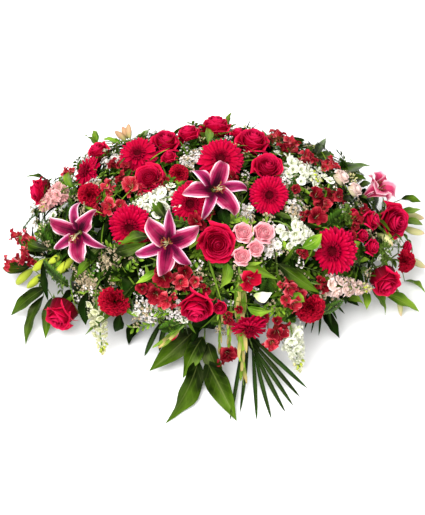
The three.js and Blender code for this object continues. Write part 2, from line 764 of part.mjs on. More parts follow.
const ALSTROEMERIAS = {
  alstroemeria_left: [head(-192, 172, 44), head(-228, 130, 44), head(-238, 170, 34)],
  alstroemeria_centre: [
    head(-118, -32, 42, undefined, 14),
    head(-78, -44, 36, undefined, 8),
    head(-134, -72, 42, undefined, 6),
    head(-100, -86, 40, undefined, 8),
  ],
  alstroemeria_lower_right: [
    head(168, -52, 40, undefined, 8),
    head(176, -94, 40, undefined, 8),
    head(150, -148, 50),
    head(134, -184, 36),
  ],
  alstroemeria_far_left: [head(-470, 0, 46), head(-432, 52, 38), head(-428, 4, 36), head(-464, 62, 32)],
  alstroemeria_right: [
    head(240, 148, 44, undefined, 4),
    head(278, 150, 44, undefined, 4),
    head(240, 102, 42),
    head(270, 226, 42),
    head(216, 240, 40),
    head(184, 272, 42),
    head(150, 292, 38),
  ],
};

// Spikes of stock: foot and tip, across and up.
const STOCKS = {
  stock_upper_left: ["white", [-106, 150], [-210, 114]],
  stock_upper_right: ["white", [166, 228], [252, 192]],
  stock_right: ["white", [172, 84], [246, 38]],
  stock_lower_right: ["white", [180, -150], [202, -252]],
  stock_lower_left: ["white", [-272, -84], [-258, -212]],
  stock_pink_right: ["blush", [260, -54], [368, -62]],
  stock_pink_left: ["blush", [-350, 172], [-406, 124]],
};

const GLADIOLI = {
  gladiolus_centre: {
    colour: "crimson",
    spikes: [
      {
        from: [60, -6],
        to: [71, -292],
        lift: 18,
        florets: [[0.06, 72, 0], [0.3, 48], [0.44, 38], [0.58, 34], [0.71, 28], [0.84, 22], [0.95, 16]],
      },
    ],
  },
  gladiolus_buds: {
    colour: "blush",
    spikes: [
      { from: [18, -86], to: [14, -215], florets: [[0.15, 34], [0.5, 30], [0.92, 44, 0]] },
      { from: [42, -88], to: [36, -228], florets: [[0.2, 32], [0.55, 26], [0.9, 18]] },
      { from: [-70, -150], to: [-110, -182], florets: [[0.85, 42, 0]] },
    ],
  },
};

const FILLERS = {
  statice_top: { colour: "white", centres: [[-58, 246], [-34, 262]], spread: 22 },
  statice_upper_right: { colour: "white", centres: [[200, 126], [172, 198]], spread: 24 },
  statice_left: { colour: "white", centres: [[-292, 184], [-240, 246]], spread: 24 },
  caspia_left: { colour: "cream", centres: [[-244, 4], [-296, -52]], spread: 26 },
  statice_centre: { colour: "white", centres: [[66, 116], [142, 34]], spread: 22 },
  statice_lower_left: { colour: "white", centres: [[-155, -120], [-84, -122]], spread: 22 },
  solidago_right: { colour: "lime", centres: [[322, 112], [408, 22]], spread: 26 },
  fern_left: { colour: "lime", centres: [[-384, 54]], spread: 40, depth: 30 },
};

// Leafy stems. A leaf is its foot, its tip, its width, and its shape and bow if not the usual.
const GREENS = {
  greens_left: {
    colour: "lime",
    stalk: [[-280, -10], [-350, -14], [-410, -30]],
    buds: [
      [[-423, -14], [-470, -54], 18],
      [[-388, 9], [-425, -20], 17],
      [[-400, -26], [-441, -62], 16],
      [[-320, 14], [-376, -36], 18],
      [[-352, 22], [-386, -4], 15],
    ],
    leaves: [
      [[-392, -60], [-480, -128], 26],
      [[-400, -80, 60], [-442, -198, 6], 26],
      [[-380, -84, 56], [-396, -182, 6], 22],
      [[-430, -10], [-504, -14, 40], 24],
      [[-395, 14], [-466, 64], 22],
    ],
  },
  greens_right: {
    colour: "lime",
    sink: 46,
    stalk: [[330, -20], [392, -10], [440, 20]],
    buds: [
      [[444, 128], [507, 104, 80], 20],
      [[452, 84], [507, 68, 70], 18],
      [[385, 68], [424, 38], 18],
      [[462, 12], [507, -14, 46], 18],
      [[436, -60], [446, -130, 12], 12],
    ],
    leaves: [
      [[448, 70], [476, 20], 18],
      [[458, -46], [507, -76, 16], 24],
      [[408, -76], [492, -120, 10], 26],
      [[376, -68], [408, -128], 22],
      [[350, -66], [360, -112], 18],
      [[316, -84], [352, -98], 18],
    ],
  },
  greens_upper_left: {
    colour: "lime",
    stalk: [[-176, 262], [-200, 292]],
    buds: [
      [[-210, 292], [-237, 316], 11],
      [[-206, 296], [-219, 327], 11],
      [[-200, 296], [-204, 334], 11],
    ],
    leaves: [
      [[-280, 290], [-290, 318], 16],
      [[-284, 282], [-312, 306], 18],
      [[-222, 282], [-270, 296], 16],
      [[-168, 286], [-150, 320], 20],
    ],
  },
  greens_upper_right: {
    colour: "leaf",
    stalk: [[200, 210], [236, 236]],
    leaves: [
      [[242, 248], [274, 300], 18],
      [[228, 246], [226, 278], 14],
      [[240, 240], [292, 256], 18],
      [[290, 206], [386, 230], 26],
      [[196, 262], [206, 296], 18],
      [[318, 196], [366, 196], 20],
    ],
  },
  greens_middle_left: {
    colour: "deepLeaf",
    stalk: [[-150, -8], [-200, -20]],
    leaves: [
      [[-164, -16], [-254, -34], 40],
      [[-164, -24], [-212, -86], 42],
      [[-150, -20], [-160, -84], 36],
      [[-186, 0], [-262, 36], 34],
      [[-130, 0], [-110, -20], 30],
    ],
  },
  greens_front: {
    colour: "leaf",
    stalk: [[-18, -140, 66], [-22, -226, 34]],
    leaves: [
      [[-34, -152, 62], [-150, -256, 18], 42],
      [[-24, -176, 52], [-71, -272, 22], 36],
      [[-34, -232, 34], [-112, -376, 4], 46],
      [[-14, -232, 34], [55, -369, 4], 44],
      [[-12, -190, 48], [34, -290, 14], 36],
      [[-120, -138, 66], [-161, -222, 26], 15, STRAP_SHAPE],
      [[-104, -130, 70], [-126, -210, 30], 15, STRAP_SHAPE],
    ],
  },
  greens_back_left: {
    colour: "deepLeaf",
    stalk: [[-86, 150, 62], [-126, 216, 40]],
    leaves: [
      [[-126, 218, 40], [-150, 318, 8], 46],
      [[-120, 206, 44], [-244, 276, 12], 46],
      [[-118, 204, 44], [-56, 312, 10], 44],
      [[-106, 184, 52], [-262, 208, 34], 44],
      [[-100, 172, 56], [6, 262, 26], 40],
    ],
  },
  greens_back_right: {
    colour: "deepLeaf",
    stalk: [[92, 150, 62], [140, 212, 40]],
    leaves: [
      [[140, 214, 40], [162, 318, 8], 46],
      [[134, 202, 44], [262, 264, 12], 46],
      [[130, 198, 46], [72, 308, 10], 44],
      [[120, 184, 50], [288, 206, 34], 44],
      [[106, 168, 56], [44, 252, 30], 36],
    ],
  },
  palm_front: {
    colour: "leaf",
    stalk: [[64, -120, 88], [98, -214, 44]],
    leaves: [
      [[76, -154, 71], [38, -371, 6], 12, STRAP_SHAPE],
      [[82, -170, 64], [62, -352, 10], 12, STRAP_SHAPE],
      [[92, -196, 52], [101, -369, 6], 12, STRAP_SHAPE],
      [[96, -208, 47], [136, -366, 6], 12, STRAP_SHAPE],
      [[95, -204, 49], [169, -350, 8], 13, STRAP_SHAPE],
      [[90, -192, 54], [188, -336, 10], 13, STRAP_SHAPE],
      [[86, -180, 60], [204, -316, 12], 13, STRAP_SHAPE],
      [[81, -167, 66], [222, -296, 14], 13, STRAP_SHAPE],
    ],
  },
  palm_right: {
    colour: "leaf",
    stalk: [[220, -30, 118], [252, -76, 92]],
    leaves: [
      [[248, -70, 95], [278, -148, 56], 10, STRAP_SHAPE],
      [[244, -64, 98], [292, -136, 60], 10, STRAP_SHAPE],
      [[239, -57, 102], [310, -122, 64], 10, STRAP_SHAPE],
      [[250, -74, 93], [248, -174, 40], 10, STRAP_SHAPE],
      [[242, -61, 100], [230, -168, 44], 10, STRAP_SHAPE],
      [[236, -53, 105], [214, -160, 48], 10, STRAP_SHAPE],
    ],
  },
};

// How far a stem's foot is moved along the foam, clear of another stem.
const ROOT_SHIFTS = { greens_upper_left: 30, greens_upper_right: -6, solidago_right: 12 };

const planted = (table, plant) =>
  Object.entries(table).map(([name, row]) => ({ name, rootShift: ROOT_SHIFTS[name], ...plant(row) }));

const PLANTS = [
  ...planted(LILIES, (heads) => ({ make: bloom, kind: "lily", colour: "magenta", heads })),
  ...planted(ROSES, (heads) => ({ make: bloom, kind: "rose", colour: "red", heads })),
  ...planted(GERBERAS, (heads) => ({ make: bloom, kind: "gerbera", colour: "crimson", heads })),
  {
    name: "lily_right",
    make: bloom,
    kind: "trumpet",
    colour: "magenta",
    heads: [head(374, 165, 94, [45, 40], 0, 10)],
  },
  ...planted(CARNATIONS, (heads) => ({ make: bloom, kind: "carnation", colour: "red", heads })),
  ...planted(SPRAY_ROSES, ([colour, heads]) => ({ make: cluster, kind: "sprayRose", colour, heads })),
  ...planted(ALSTROEMERIAS, (heads) => ({ make: cluster, kind: "trumpet", colour: "scarlet", heads })),
  ...planted(GLADIOLI, (row) => ({ make: gladiolus, ...row })),
  ...planted(STOCKS, ([colour, from, to]) => ({ make: spike, colour, from, to })),
  ...planted(GREENS, (row) => ({ make: foliage, ...row })),
  ...planted(FILLERS, (row) => ({ make: filler, ...row })),
];

// The build

// Foam with a plain hole for each stem.
function foamBlock(holes) {
  const [halfX, halfY, c] = [FOAM.length / 2, FOAM.depth / 2, FOAM.corner];
  const outline = new THREE.Shape([
    new THREE.Vector2(-halfX + c, -halfY),
    new THREE.Vector2(halfX - c, -halfY),
    new THREE.Vector2(halfX, -halfY + c),
    new THREE.Vector2(halfX, halfY - c),
    new THREE.Vector2(halfX - c, halfY),
    new THREE.Vector2(-halfX + c, halfY),
    new THREE.Vector2(-halfX, halfY - c),
    new THREE.Vector2(-halfX, -halfY + c),
  ]);
  const bottom = TRAY.wall + SEAT_GAP;
  const block = new THREE.ExtrudeGeometry(outline, { depth: FOAM.top - bottom, bevelEnabled: false });
  return largest(toSolid(block.translate(0, 0, bottom)).subtract(fuse(holes)));
}

// A shallow open tray.
function saddleTray() {
  const box = (length, depth, low, high) =>
    toSolid(new THREE.BoxGeometry(length, depth, high - low).translate(0, 0, (low + high) / 2));
  const { length, depth, height, wall } = TRAY;
  return box(length, depth, 0, height).subtract(box(length - 2 * wall, depth - 2 * wall, wall, height + 1));
}

// Heads make room for every other plant's stem and for the heads of earlier plants. Stems make room for
// earlier stems.
function spray() {
  const trueToSize = PLANTS.map((plant) => plant.make(plant, 0));
  const swelled = PLANTS.map((plant, i) => {
    const { heads, stems } = plant.make(plant, CLEARANCE);
    return { heads: fuse([...heads, ...trueToSize[i].heads]), stems: fuse(stems) };
  });
  const group = new THREE.Group();
  const add = (name, solid, colour) => {
    const mesh = new THREE.Mesh(toGeometry(solid), material(colour));
    mesh.name = name;
    group.add(mesh);
  };
  add("saddle_tray", saddleTray(), "tray");
  add("foam_block", foamBlock(swelled.map(({ stems }) => stems)), "foam");
  PLANTS.forEach((plant, i) => {
    const { heads, stems } = trueToSize[i];
    const earlier = swelled.slice(0, i);
    const others = swelled.filter((_, k) => k !== i);
    const headRoom = fuse([...others.map((other) => other.stems), ...earlier.map((other) => other.heads)]);
    const stemRoom = fuse(earlier.map((other) => other.stems));
    const solid = fuse([fuse(heads).subtract(headRoom), fuse(stems).subtract(stemRoom)]);
    add(plant.name, largest(solid.simplify(SMALLEST_EDGE)), plant.colour);
  });
  return group;
}

const group = spray();
export default group;
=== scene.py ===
from itertools import product
from math import cos, hypot, pi, radians, sin, sqrt

import bpy
import numpy as np
from mathutils import Matrix, Vector


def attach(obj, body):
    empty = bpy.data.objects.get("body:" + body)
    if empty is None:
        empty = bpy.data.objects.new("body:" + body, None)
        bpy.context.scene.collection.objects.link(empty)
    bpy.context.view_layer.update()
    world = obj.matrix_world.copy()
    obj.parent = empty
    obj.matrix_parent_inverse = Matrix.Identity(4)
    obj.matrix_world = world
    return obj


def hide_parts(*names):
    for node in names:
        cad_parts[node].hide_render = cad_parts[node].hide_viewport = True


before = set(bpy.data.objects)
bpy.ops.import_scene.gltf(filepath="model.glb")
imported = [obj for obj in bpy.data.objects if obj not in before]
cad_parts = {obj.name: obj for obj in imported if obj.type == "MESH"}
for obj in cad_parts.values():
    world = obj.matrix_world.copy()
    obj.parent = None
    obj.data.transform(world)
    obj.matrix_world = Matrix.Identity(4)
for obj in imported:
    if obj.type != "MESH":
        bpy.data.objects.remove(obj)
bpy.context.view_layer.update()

# A casket spray in full detail. The plan of the spray is in millimetres, and MM turns it into metres.
MM = 0.001

# The mound that the heads lie on, half of an ellipsoid, and the slope that they are set out on.
MOUND = np.array([480.0, 325.0, 275.0])
MOUND_BASE = 30.0
SLOPE = radians(55)
LOWEST_HEAD = 48.0

# Stems point away from a core in the foam. They begin and bend at set distances from it.
CORE_HEIGHT = 56.0
CORE_SHARE = 0.36
STEM_END = 24.0
STRAIGHT = 92.0
BEND = 0.4
STEM_RADIUS = 2.6
STALK_RADIUS = 1.3
TUFT_STEM, LEAFY_STEM, SPIKE_STEM, SPIKE_TIP = 2.0, 2.1, 2.2, 1.2
# How far a stem runs into its head, and how far below heads, tufts and spikes a stem forks.
INTO_HEAD = 2
FORK_BELOW_HEADS, FORK_BELOW_TUFTS, FORK_BELOW_SPIKES = 55, 46, 50
FIRST_FORK, FORK_STEP = 5, 7

X = np.array([1.0, 0.0, 0.0])
UP = np.array([0.0, sin(SLOPE), cos(SLOPE)])
OUT = np.array([0.0, -cos(SLOPE), sin(SLOPE)])
GOLDEN_ANGLE = pi * (3 - sqrt(5))


def vec(*values):
    return np.array(values, float)


def unit(v):
    return v / np.linalg.norm(v)


def smooth(v, low, high):
    t = np.clip((v - low) / (high - low), 0, 1)
    return t * t * (3 - 2 * t)


def on_mound(across, up, lift=0.0, lowest=LOWEST_HEAD):
    """The point of the mound across and up its slope, raised by lift towards the viewer."""
    p = vec(across, up * UP[1], up * UP[2] - MOUND_BASE)
    q, d = p / MOUND, OUT / MOUND
    a, b = d @ d, q @ d
    room = max(0.0, b * b - a * (q @ q - 1))
    reach = (-b + sqrt(room)) / a
    p[2] += MOUND_BASE
    height = p[2] + reach * OUT[2]
    if height < lowest:
        reach += (lowest - height) / OUT[2]
    return p + OUT * (reach + lift)


def over_mound(x, y, lift):
    """The point of the mound above a place on the floor, raised by lift along the way out."""
    rest = max(0.0, 1 - (x / MOUND[0]) ** 2 - (y / MOUND[1]) ** 2)
    p = vec(x, y, MOUND_BASE + MOUND[2] * sqrt(rest))
    return p + outward_at(p) * lift


def core_below(p):
    """The point of the core that a stem to this point leaves from."""
    return vec(p[0] * CORE_SHARE, 0, CORE_HEIGHT)


def outward_at(p):
    return unit(p - core_below(p))


def facing(right, upward):
    """The direction to the viewer, turned by degrees to the right and upward."""
    a, b = radians(right), radians(upward)
    return X * sin(a) + UP * cos(a) * sin(b) + OUT * cos(a) * cos(b)


def standing(at, direction, spin=0.0):
    """The 3 x 4 matrix that stands something modelled along +Z at a point, along a direction."""
    side = X - direction * (X @ direction)
    if np.linalg.norm(side) < 0.2:
        side = UP - direction * (UP @ direction)
    side = unit(side)
    other = np.cross(direction, side)
    c, s = cos(radians(spin)), sin(radians(spin))
    return np.column_stack([side * c + other * s, other * c - side * s, direction, at])


def placed(grid, matrix):
    """A grid of points moved by a matrix that standing() made."""
    return grid @ matrix[:, :3].T + matrix[:, 3]


def around(direction, turn):
    """A direction square to another one, at an angle in radians about it."""
    m = standing(vec(0, 0, 0), direction)
    return m[:, 0] * cos(turn) + m[:, 1] * sin(turn)


def tilted(direction, side, angle):
    """A direction leant towards a side, which is square to it, by an angle in radians."""
    return direction * cos(angle) + side * sin(angle)


# Curves


def bezier(rows, *controls):
    """Points along a curve, from its first control point to its last."""
    t = np.linspace(0, 1, rows)[:, None]
    points = [np.asarray(control, float) for control in controls]
    while len(points) > 1:
        points = [a * (1 - t) + b * t for a, b in zip(points, points[1:])]
    return points[0]


def branch(start, out, to, arriving, rows=8):
    """Leaves one point along a direction and arrives at another along a second one."""
    reach = np.linalg.norm(to - start) * BEND
    return bezier(rows, start, start + out * reach, to - arriving * reach, to)


def stem_path(to, arriving, root_shift=0.0):
    """Straight out of the foam, then curved so that it arrives at a point along a direction."""
    core = core_below(to) + X * root_shift
    out = unit(to - core)
    return np.vstack([core + out * STEM_END, branch(core + out * STRAIGHT, out, to, arriving, 9)])


def tangents(path):
    along = np.gradient(path, axis=0)
    return along / np.maximum(np.linalg.norm(along, axis=1, keepdims=True), 1e-9)


# Sheets: grids of points, rows from foot to tip and columns from side to side


def taper(rows, rise, fall, foot):
    """Half-widths from 0 to 1 to 0. The smaller rise and fall are, the blunter the two ends."""
    v = np.linspace(0, 1, rows)
    w = v**rise * (1 - v) ** fall
    return np.maximum(w / w.max(), foot * (1 - v))


def ribbon(spine, side, normal, half, columns, cup=0.0, fold=0.0, ruffle=0.0, waves=0.0, phase=0.0):
    """A petal or a leaf along a spine. cup and fold raise its edges, round or creased; ruffle waves them."""
    rows = len(spine)
    v = np.linspace(0, 1, rows)[:, None]
    u = np.linspace(-1, 1, columns)[None, :]
    width = half[:, None]
    wave = np.sin(2 * pi * waves * v + phase + 1.3 * np.sign(u)) * np.sin(pi * np.clip(v * 1.1, 0, 1))
    rise = cup * width * u**2 + fold * width * np.abs(u) + ruffle * u**2 * wave
    side = np.broadcast_to(side, (rows, 3))[:, None, :]
    normal = np.broadcast_to(normal, (rows, 3))[:, None, :]
    return spine[:, None, :] + side * (width * u)[:, :, None] + normal * rise[:, :, None]


def rolled(side, normal, angle):
    """The side and the normal of a ribbon, rolled about its spine by one angle for each row."""
    return side * np.cos(angle) + normal * np.sin(angle), normal * np.cos(angle) - side * np.sin(angle)


def tube(path, radius, sides=7):
    """A closed tube along a path. radius may be one number or one for each point."""
    path = np.asarray(path, float)
    radii = np.broadcast_to(radius, len(path)).astype(float)
    headings = tangents(path)
    side = vec(0, 0, 1) if abs(headings[0][2]) < 0.9 else vec(0, 1, 0)
    angles = np.linspace(0, 2 * pi, sides + 1)
    rings = []
    for point, heading, r in zip(path, headings, radii):
        side = unit(side - heading * (side @ heading))
        other = np.cross(heading, side)
        rings.append(point + r * (np.outer(np.cos(angles), side) + np.outer(np.sin(angles), other)))
    return np.array(rings)


def polar(radius, angle, height):
    """Points from arrays of radius, angle and height."""
    radius, angle, height = np.broadcast_arrays(radius, angle, height)
    return np.stack([radius * np.cos(angle), radius * np.sin(angle), height], axis=-1)


def lathe(profile, sides):
    """A turned form along +Z from (radius, height) pairs."""
    radius, height = np.array(profile, float).T[:, :, None]
    return polar(radius, np.linspace(0, 2 * pi, sides + 1), height)


def radial_spine(angle, profile, raised=0.0):
    """A spine that leaves the axis at one angle, with the side and normal vectors along it."""
    spine = polar(profile[:, 0], angle, profile[:, 1] + raised)
    side = vec(-sin(angle), cos(angle), 0)
    return spine, side, np.cross(tangents(spine), side)


# Pieces


def mesh_of(name, points, faces, tones, looks):
    mesh = bpy.data.meshes.new(name)
    mesh.from_pydata(points, [], faces)
    mesh.uv_layers.new(name="sheet")
    mesh.attributes.new("tone", "FLOAT", "POINT").data.foreach_set("value", tones)
    for look in looks:
        mesh.materials.append(LOOKS[look])
    return mesh


def put(name, data):
    made = bpy.data.objects.new(name, data)
    bpy.context.scene.collection.objects.link(made)
    return made


def show(name, mesh, slot, nodes):
    """A piece on the one body, in the place of nodes if it has any. Its slot is not used."""
    piece = put(name, mesh)
    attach(piece, "root")
    if nodes:
        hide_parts(*nodes)
    return piece


class Plant:
    """One piece of the spray, gathered from sheets that each have a look and a tone."""

    def __init__(self):
        self.sheets = []

    def add(self, grid, look, tone=0.5):
        self.sheets.append((np.asarray(grid, float), look, tone))

    def stand(self, sheets, matrix):
        for grid, look, tone in sheets:
            self.add(placed(grid, matrix), look, tone)

    def build(self, name, slot, nodes):
        points, faces, uvs, tones, indices, looks = [], [], [], [], [], []
        start = 0
        for grid, look, tone in self.sheets:
            rows, columns = grid.shape[:2]
            points.append(grid.reshape(-1, 3) * MM)
            corner = start + np.arange(rows * columns).reshape(rows, columns)
            quads = np.stack([corner[:-1, :-1], corner[:-1, 1:], corner[1:, 1:], corner[1:, :-1]], axis=-1)
            faces.append(quads.reshape(-1, 4))
            v, u = np.meshgrid(np.linspace(0, 1, rows), np.linspace(0, 1, columns), indexing="ij")
            uvs.append(np.stack([u, v], axis=-1).reshape(-1, 2))
            tones.append(np.full(rows * columns, tone))
            if look not in looks:
                looks.append(look)
            indices.append(np.full(len(faces[-1]), looks.index(look)))
            start += rows * columns
        faces = np.concatenate(faces)
        mesh = mesh_of(name, np.concatenate(points).tolist(), faces.tolist(), np.concatenate(tones), looks)
        mesh.polygons.foreach_set("material_index", np.concatenate(indices))
        mesh.polygons.foreach_set("use_smooth", np.ones(len(faces), bool))
        mesh.uv_layers["sheet"].data.foreach_set("uv", np.concatenate(uvs)[faces].ravel())
        mesh.update()
        show(name, mesh, slot, nodes)


# Looks


def shade(value):
    """A hex sRGB colour, or a grey from 0 to 1, as linear RGBA. A socket stays what it is."""
    if isinstance(value, bpy.types.NodeSocket):
        return value
    if not isinstance(value, str):
        return [value, value, value, 1.0]
    parts = [int(value[k : k + 2], 16) / 255 for k in (0, 2, 4)]
    return [c / 12.92 if c <= 0.04045 else ((c + 0.055) / 1.055) ** 2.4 for c in parts] + [1.0]


class Nodes:
    """Short calls for the shader nodes of one material."""

    def __init__(self, name):
        self.material = bpy.data.materials.new(name)
        self.material.use_nodes = True
        self.tree = self.material.node_tree
        self.shader = self.tree.nodes["Principled BSDF"]

    def new(self, kind, inputs=None, **settings):
        node = self.tree.nodes.new(kind)
        for key, value in settings.items():
            setattr(node, key, value)
        for key, value in (inputs or {}).items():
            self.give(node.inputs[key], value)
        return node

    def give(self, socket, value):
        if isinstance(value, bpy.types.NodeSocket):
            self.tree.links.new(value, socket)
        else:
            socket.default_value = value

    def math(self, operation, a, b=0.0):
        return self.new("ShaderNodeMath", {0: a, 1: b}, operation=operation).outputs[0]

    def plus(self, a, b):
        return self.math("ADD", a, b)

    def minus(self, a, b):
        return self.math("SUBTRACT", a, b)

    def times(self, a, b):
        return self.math("MULTIPLY", a, b)

    def mix(self, factor, a, b, blend="MIX"):
        node = self.new("ShaderNodeMix", {"Factor": factor}, data_type="RGBA", blend_type=blend)
        self.give(node.inputs["A"], shade(a))
        self.give(node.inputs["B"], shade(b))
        return node.outputs["Result"]

    def ramp(self, factor, *stops):
        """Stops are a place from 0 to 1 and a hex colour or a grey."""
        node = self.new("ShaderNodeValToRGB", {"Fac": factor})
        elements = node.color_ramp.elements
        while len(elements) < len(stops):
            elements.new(0.5)
        for element, (position, colour) in zip(elements, stops):
            element.position = position
            element.color = shade(colour)
        return node.outputs["Color"]

    def sheet(self):
        """The sheet's coordinates: across it and along it, each 0 to 1."""
        uv = self.new("ShaderNodeUVMap", uv_map="sheet")
        split = self.new("ShaderNodeSeparateXYZ", {0: uv.outputs[0]})
        return split.outputs[0], split.outputs[1]

    def place(self):
        return self.new("ShaderNodeTexCoord").outputs["Object"]

    def noise(self, scale, detail=3.0, place=None):
        inputs = {"Vector": self.place() if place is None else place, "Scale": scale, "Detail": detail}
        return self.new("ShaderNodeTexNoise", inputs).outputs[0]

    def tone(self):
        return self.new("ShaderNodeAttribute", attribute_name="tone").outputs["Fac"]

    def off_middle(self, u):
        """0 along the middle of the sheet, and 1 at its two edges."""
        return self.math("ABSOLUTE", self.minus(self.times(u, 2.0), 1.0))

    def fibres(self, across, along=1.0):
        """Fine streaks that run the length of the sheet."""
        u, v = self.sheet()
        inputs = {0: self.times(u, across), 1: self.times(v, along), 2: self.tone()}
        return self.noise(1.0, 2.0, self.new("ShaderNodeCombineXYZ", inputs).outputs[0])

    def spread(self, value, by):
        """A value from 0 to 1 moved to lie around 0, by either way."""
        return self.times(self.minus(value, 0.5), 2 * by)

    def finish(self, colour, shades, rough, gloss, tint=(1.0, 1.0, 1.0, 1.0)):
        """Gives the shader its colour, darker or lighter by the sheet's tone, and its gloss. Tone is random,
        and in roses and gerberas also painted shade.
        """
        by_tone = self.ramp(self.tone(), *zip((0.0, 0.5, 1.0), shades))
        colour = self.mix(1.0, colour, by_tone, "MULTIPLY")
        self.give(self.shader.inputs["Base Color"], colour)
        self.shader.inputs["Roughness"].default_value = rough
        self.shader.inputs["Specular IOR Level"].default_value = gloss
        self.shader.inputs["Specular Tint"].default_value = tint
        return colour

    def bump(self, height, strength, distance):
        node = self.new("ShaderNodeBump", {"Height": height, "Strength": strength, "Distance": distance})
        self.give(self.shader.inputs["Normal"], node.outputs[0])
        return node.outputs[0]

    def thin(self, colour, share, normal):
        """Lets part of the light through, as a petal or a leaf does."""
        behind = self.new("ShaderNodeBsdfTranslucent", {"Color": colour, "Normal": normal})
        blend = self.new("ShaderNodeMixShader", {0: share, 1: self.shader.outputs[0], 2: behind.outputs[0]})
        self.give(self.tree.nodes["Material Output"].inputs["Surface"], blend.outputs[0])


PETAL_GLOSS = (1.0, 0.55, 0.6, 1.0)
LEAF_GLOSS = (0.85, 1.0, 0.35, 1.0)


def petal_look(name, foot, middle, rim, rough=0.6, vein=0.25, glow=0.16, folds=34.0, streaks=None, light=0.0):
    """A petal: its colour runs from foot to rim, with fine veins, painted highlights in streaks, and dark
    dashes if given.
    """
    n = Nodes(name)
    _, v = n.sheet()
    fibres = n.fibres(folds)
    along = n.plus(v, n.spread(fibres, 0.08))
    colour = n.ramp(along, (0.02, foot), (0.45, middle), (0.8, middle), (1.0, rim))
    if streaks:
        dashes = n.ramp(n.fibres(16.0, 5.0), (0.54, 0), (0.58, 1))
        within = n.ramp(v, (0.2, 0), (0.35, 1), (0.75, 1), (0.9, 0))
        colour = n.mix(n.times(dashes, within), colour, streaks)
    colour = n.mix(n.times(fibres, vein), colour, 0.1, "MULTIPLY")
    # Streaks of the rim colour along the fibres, as strong as light: painted highlights.
    pale = n.ramp(n.fibres(folds * 1.7, 1.5), (0.52, 0), (0.66, light))
    colour = n.mix(pale, colour, rim)
    colour = n.finish(colour, (0.4, 1.0, 1.35), rough, 0.07, PETAL_GLOSS)
    n.thin(colour, glow, n.bump(fibres, 0.35, 0.0006))
    return n.material


def lily_look(name, heart, middle, pale, margin, spots, edge=0.72):
    """A lily petal: dark at its heart and midline, and paler to a light, uneven margin and tip."""
    n = Nodes(name)
    u, v = n.sheet()
    off_middle = n.off_middle(u)
    fibres = n.fibres(22.0, 1.6)
    beside = n.times(n.math("POWER", off_middle, 2.2), edge)
    outward = n.plus(beside, n.times(n.math("POWER", v, 2.2), 0.5))
    uneven = n.plus(outward, n.plus(n.spread(fibres, 0.2), n.spread(n.noise(24.0), 0.16)))
    colour = n.ramp(uneven, (0.04, heart), (0.2, middle), (0.34, middle), (0.6, pale), (0.9, margin))
    colour = n.mix(n.ramp(v, (0.03, 1), (0.13, 0)), colour, "aab868")
    colour = n.mix(0.85, colour, n.ramp(off_middle, (0.0, 0.55), (0.1, 1)), "MULTIPLY")
    cells = n.new("ShaderNodeTexVoronoi", {"Vector": n.place(), "Scale": 300.0, "Randomness": 0.9})
    dots = n.ramp(cells.outputs["Distance"], (0.2, 0.8), (0.32, 0))
    near_foot = n.ramp(v, (0.1, 0), (0.2, 1), (0.46, 0.9), (0.6, 0))
    colour = n.mix(n.times(dots, near_foot), colour, spots)
    colour = n.finish(colour, (0.5, 1.0, 1.3), 0.5, 0.15)
    n.thin(colour, 0.2, n.bump(n.minus(fibres, n.times(dots, 0.5)), 0.5, 0.0008))
    return n.material


def leaf_look(name, dark, light, rib, rough=0.45, veins=7.0, side_veins=0.12, tip=0.5, gloss=0.16):
    """A leaf: a pale midrib, faint slanting side veins and an uneven green, lighter towards its tip."""
    n = Nodes(name)
    u, v = n.sheet()
    off_middle = n.off_middle(u)
    patches = n.plus(n.times(n.noise(22.0, 2.0), 0.6), n.times(n.fibres(5.0, 1.2), 0.4))
    # Darker to the foot, lighter to the tip: on green leaves painted shade and a painted highlight, on the
    # sheaths their own pale tips.
    colour = n.ramp(n.plus(patches, n.spread(v, tip / 2)), (0.34, dark), (0.7, light))
    slant = n.minus(n.times(v, veins), n.times(off_middle, 1.6))
    saw = n.math("ABSOLUTE", n.minus(n.math("FRACT", slant), 0.5))
    vein = n.times(n.ramp(saw, (0.0, 1), (0.1, 0)), side_veins)
    midrib = n.ramp(off_middle, (0.0, 0.45), (0.09, 0))
    lines = n.math("MAXIMUM", vein, midrib)
    fibres = n.fibres(40.0)
    colour = n.mix(n.times(lines, 0.7), colour, rib)
    colour = n.mix(n.times(fibres, 0.35), colour, 0.2, "MULTIPLY")
    colour = n.finish(colour, (0.2, 0.85, 1.5), rough, gloss, LEAF_GLOSS)
    n.thin(colour, 0.12, n.bump(n.minus(fibres, lines), 0.35, 0.0007))
    return n.material


def grain_look(name, dark, light, scale, rough, bump=0.5, distance=0.0006, gloss=0.3):
    """Anything with an uneven grain: stems, anthers, discs, foam and plastic."""
    n = Nodes(name)
    grain = n.noise(scale, 4.0)
    n.finish(n.ramp(grain, (0.3, dark), (0.7, light)), (0.5, 1.0, 1.3), rough, gloss)
    n.bump(grain, bump, distance)
    return n.material


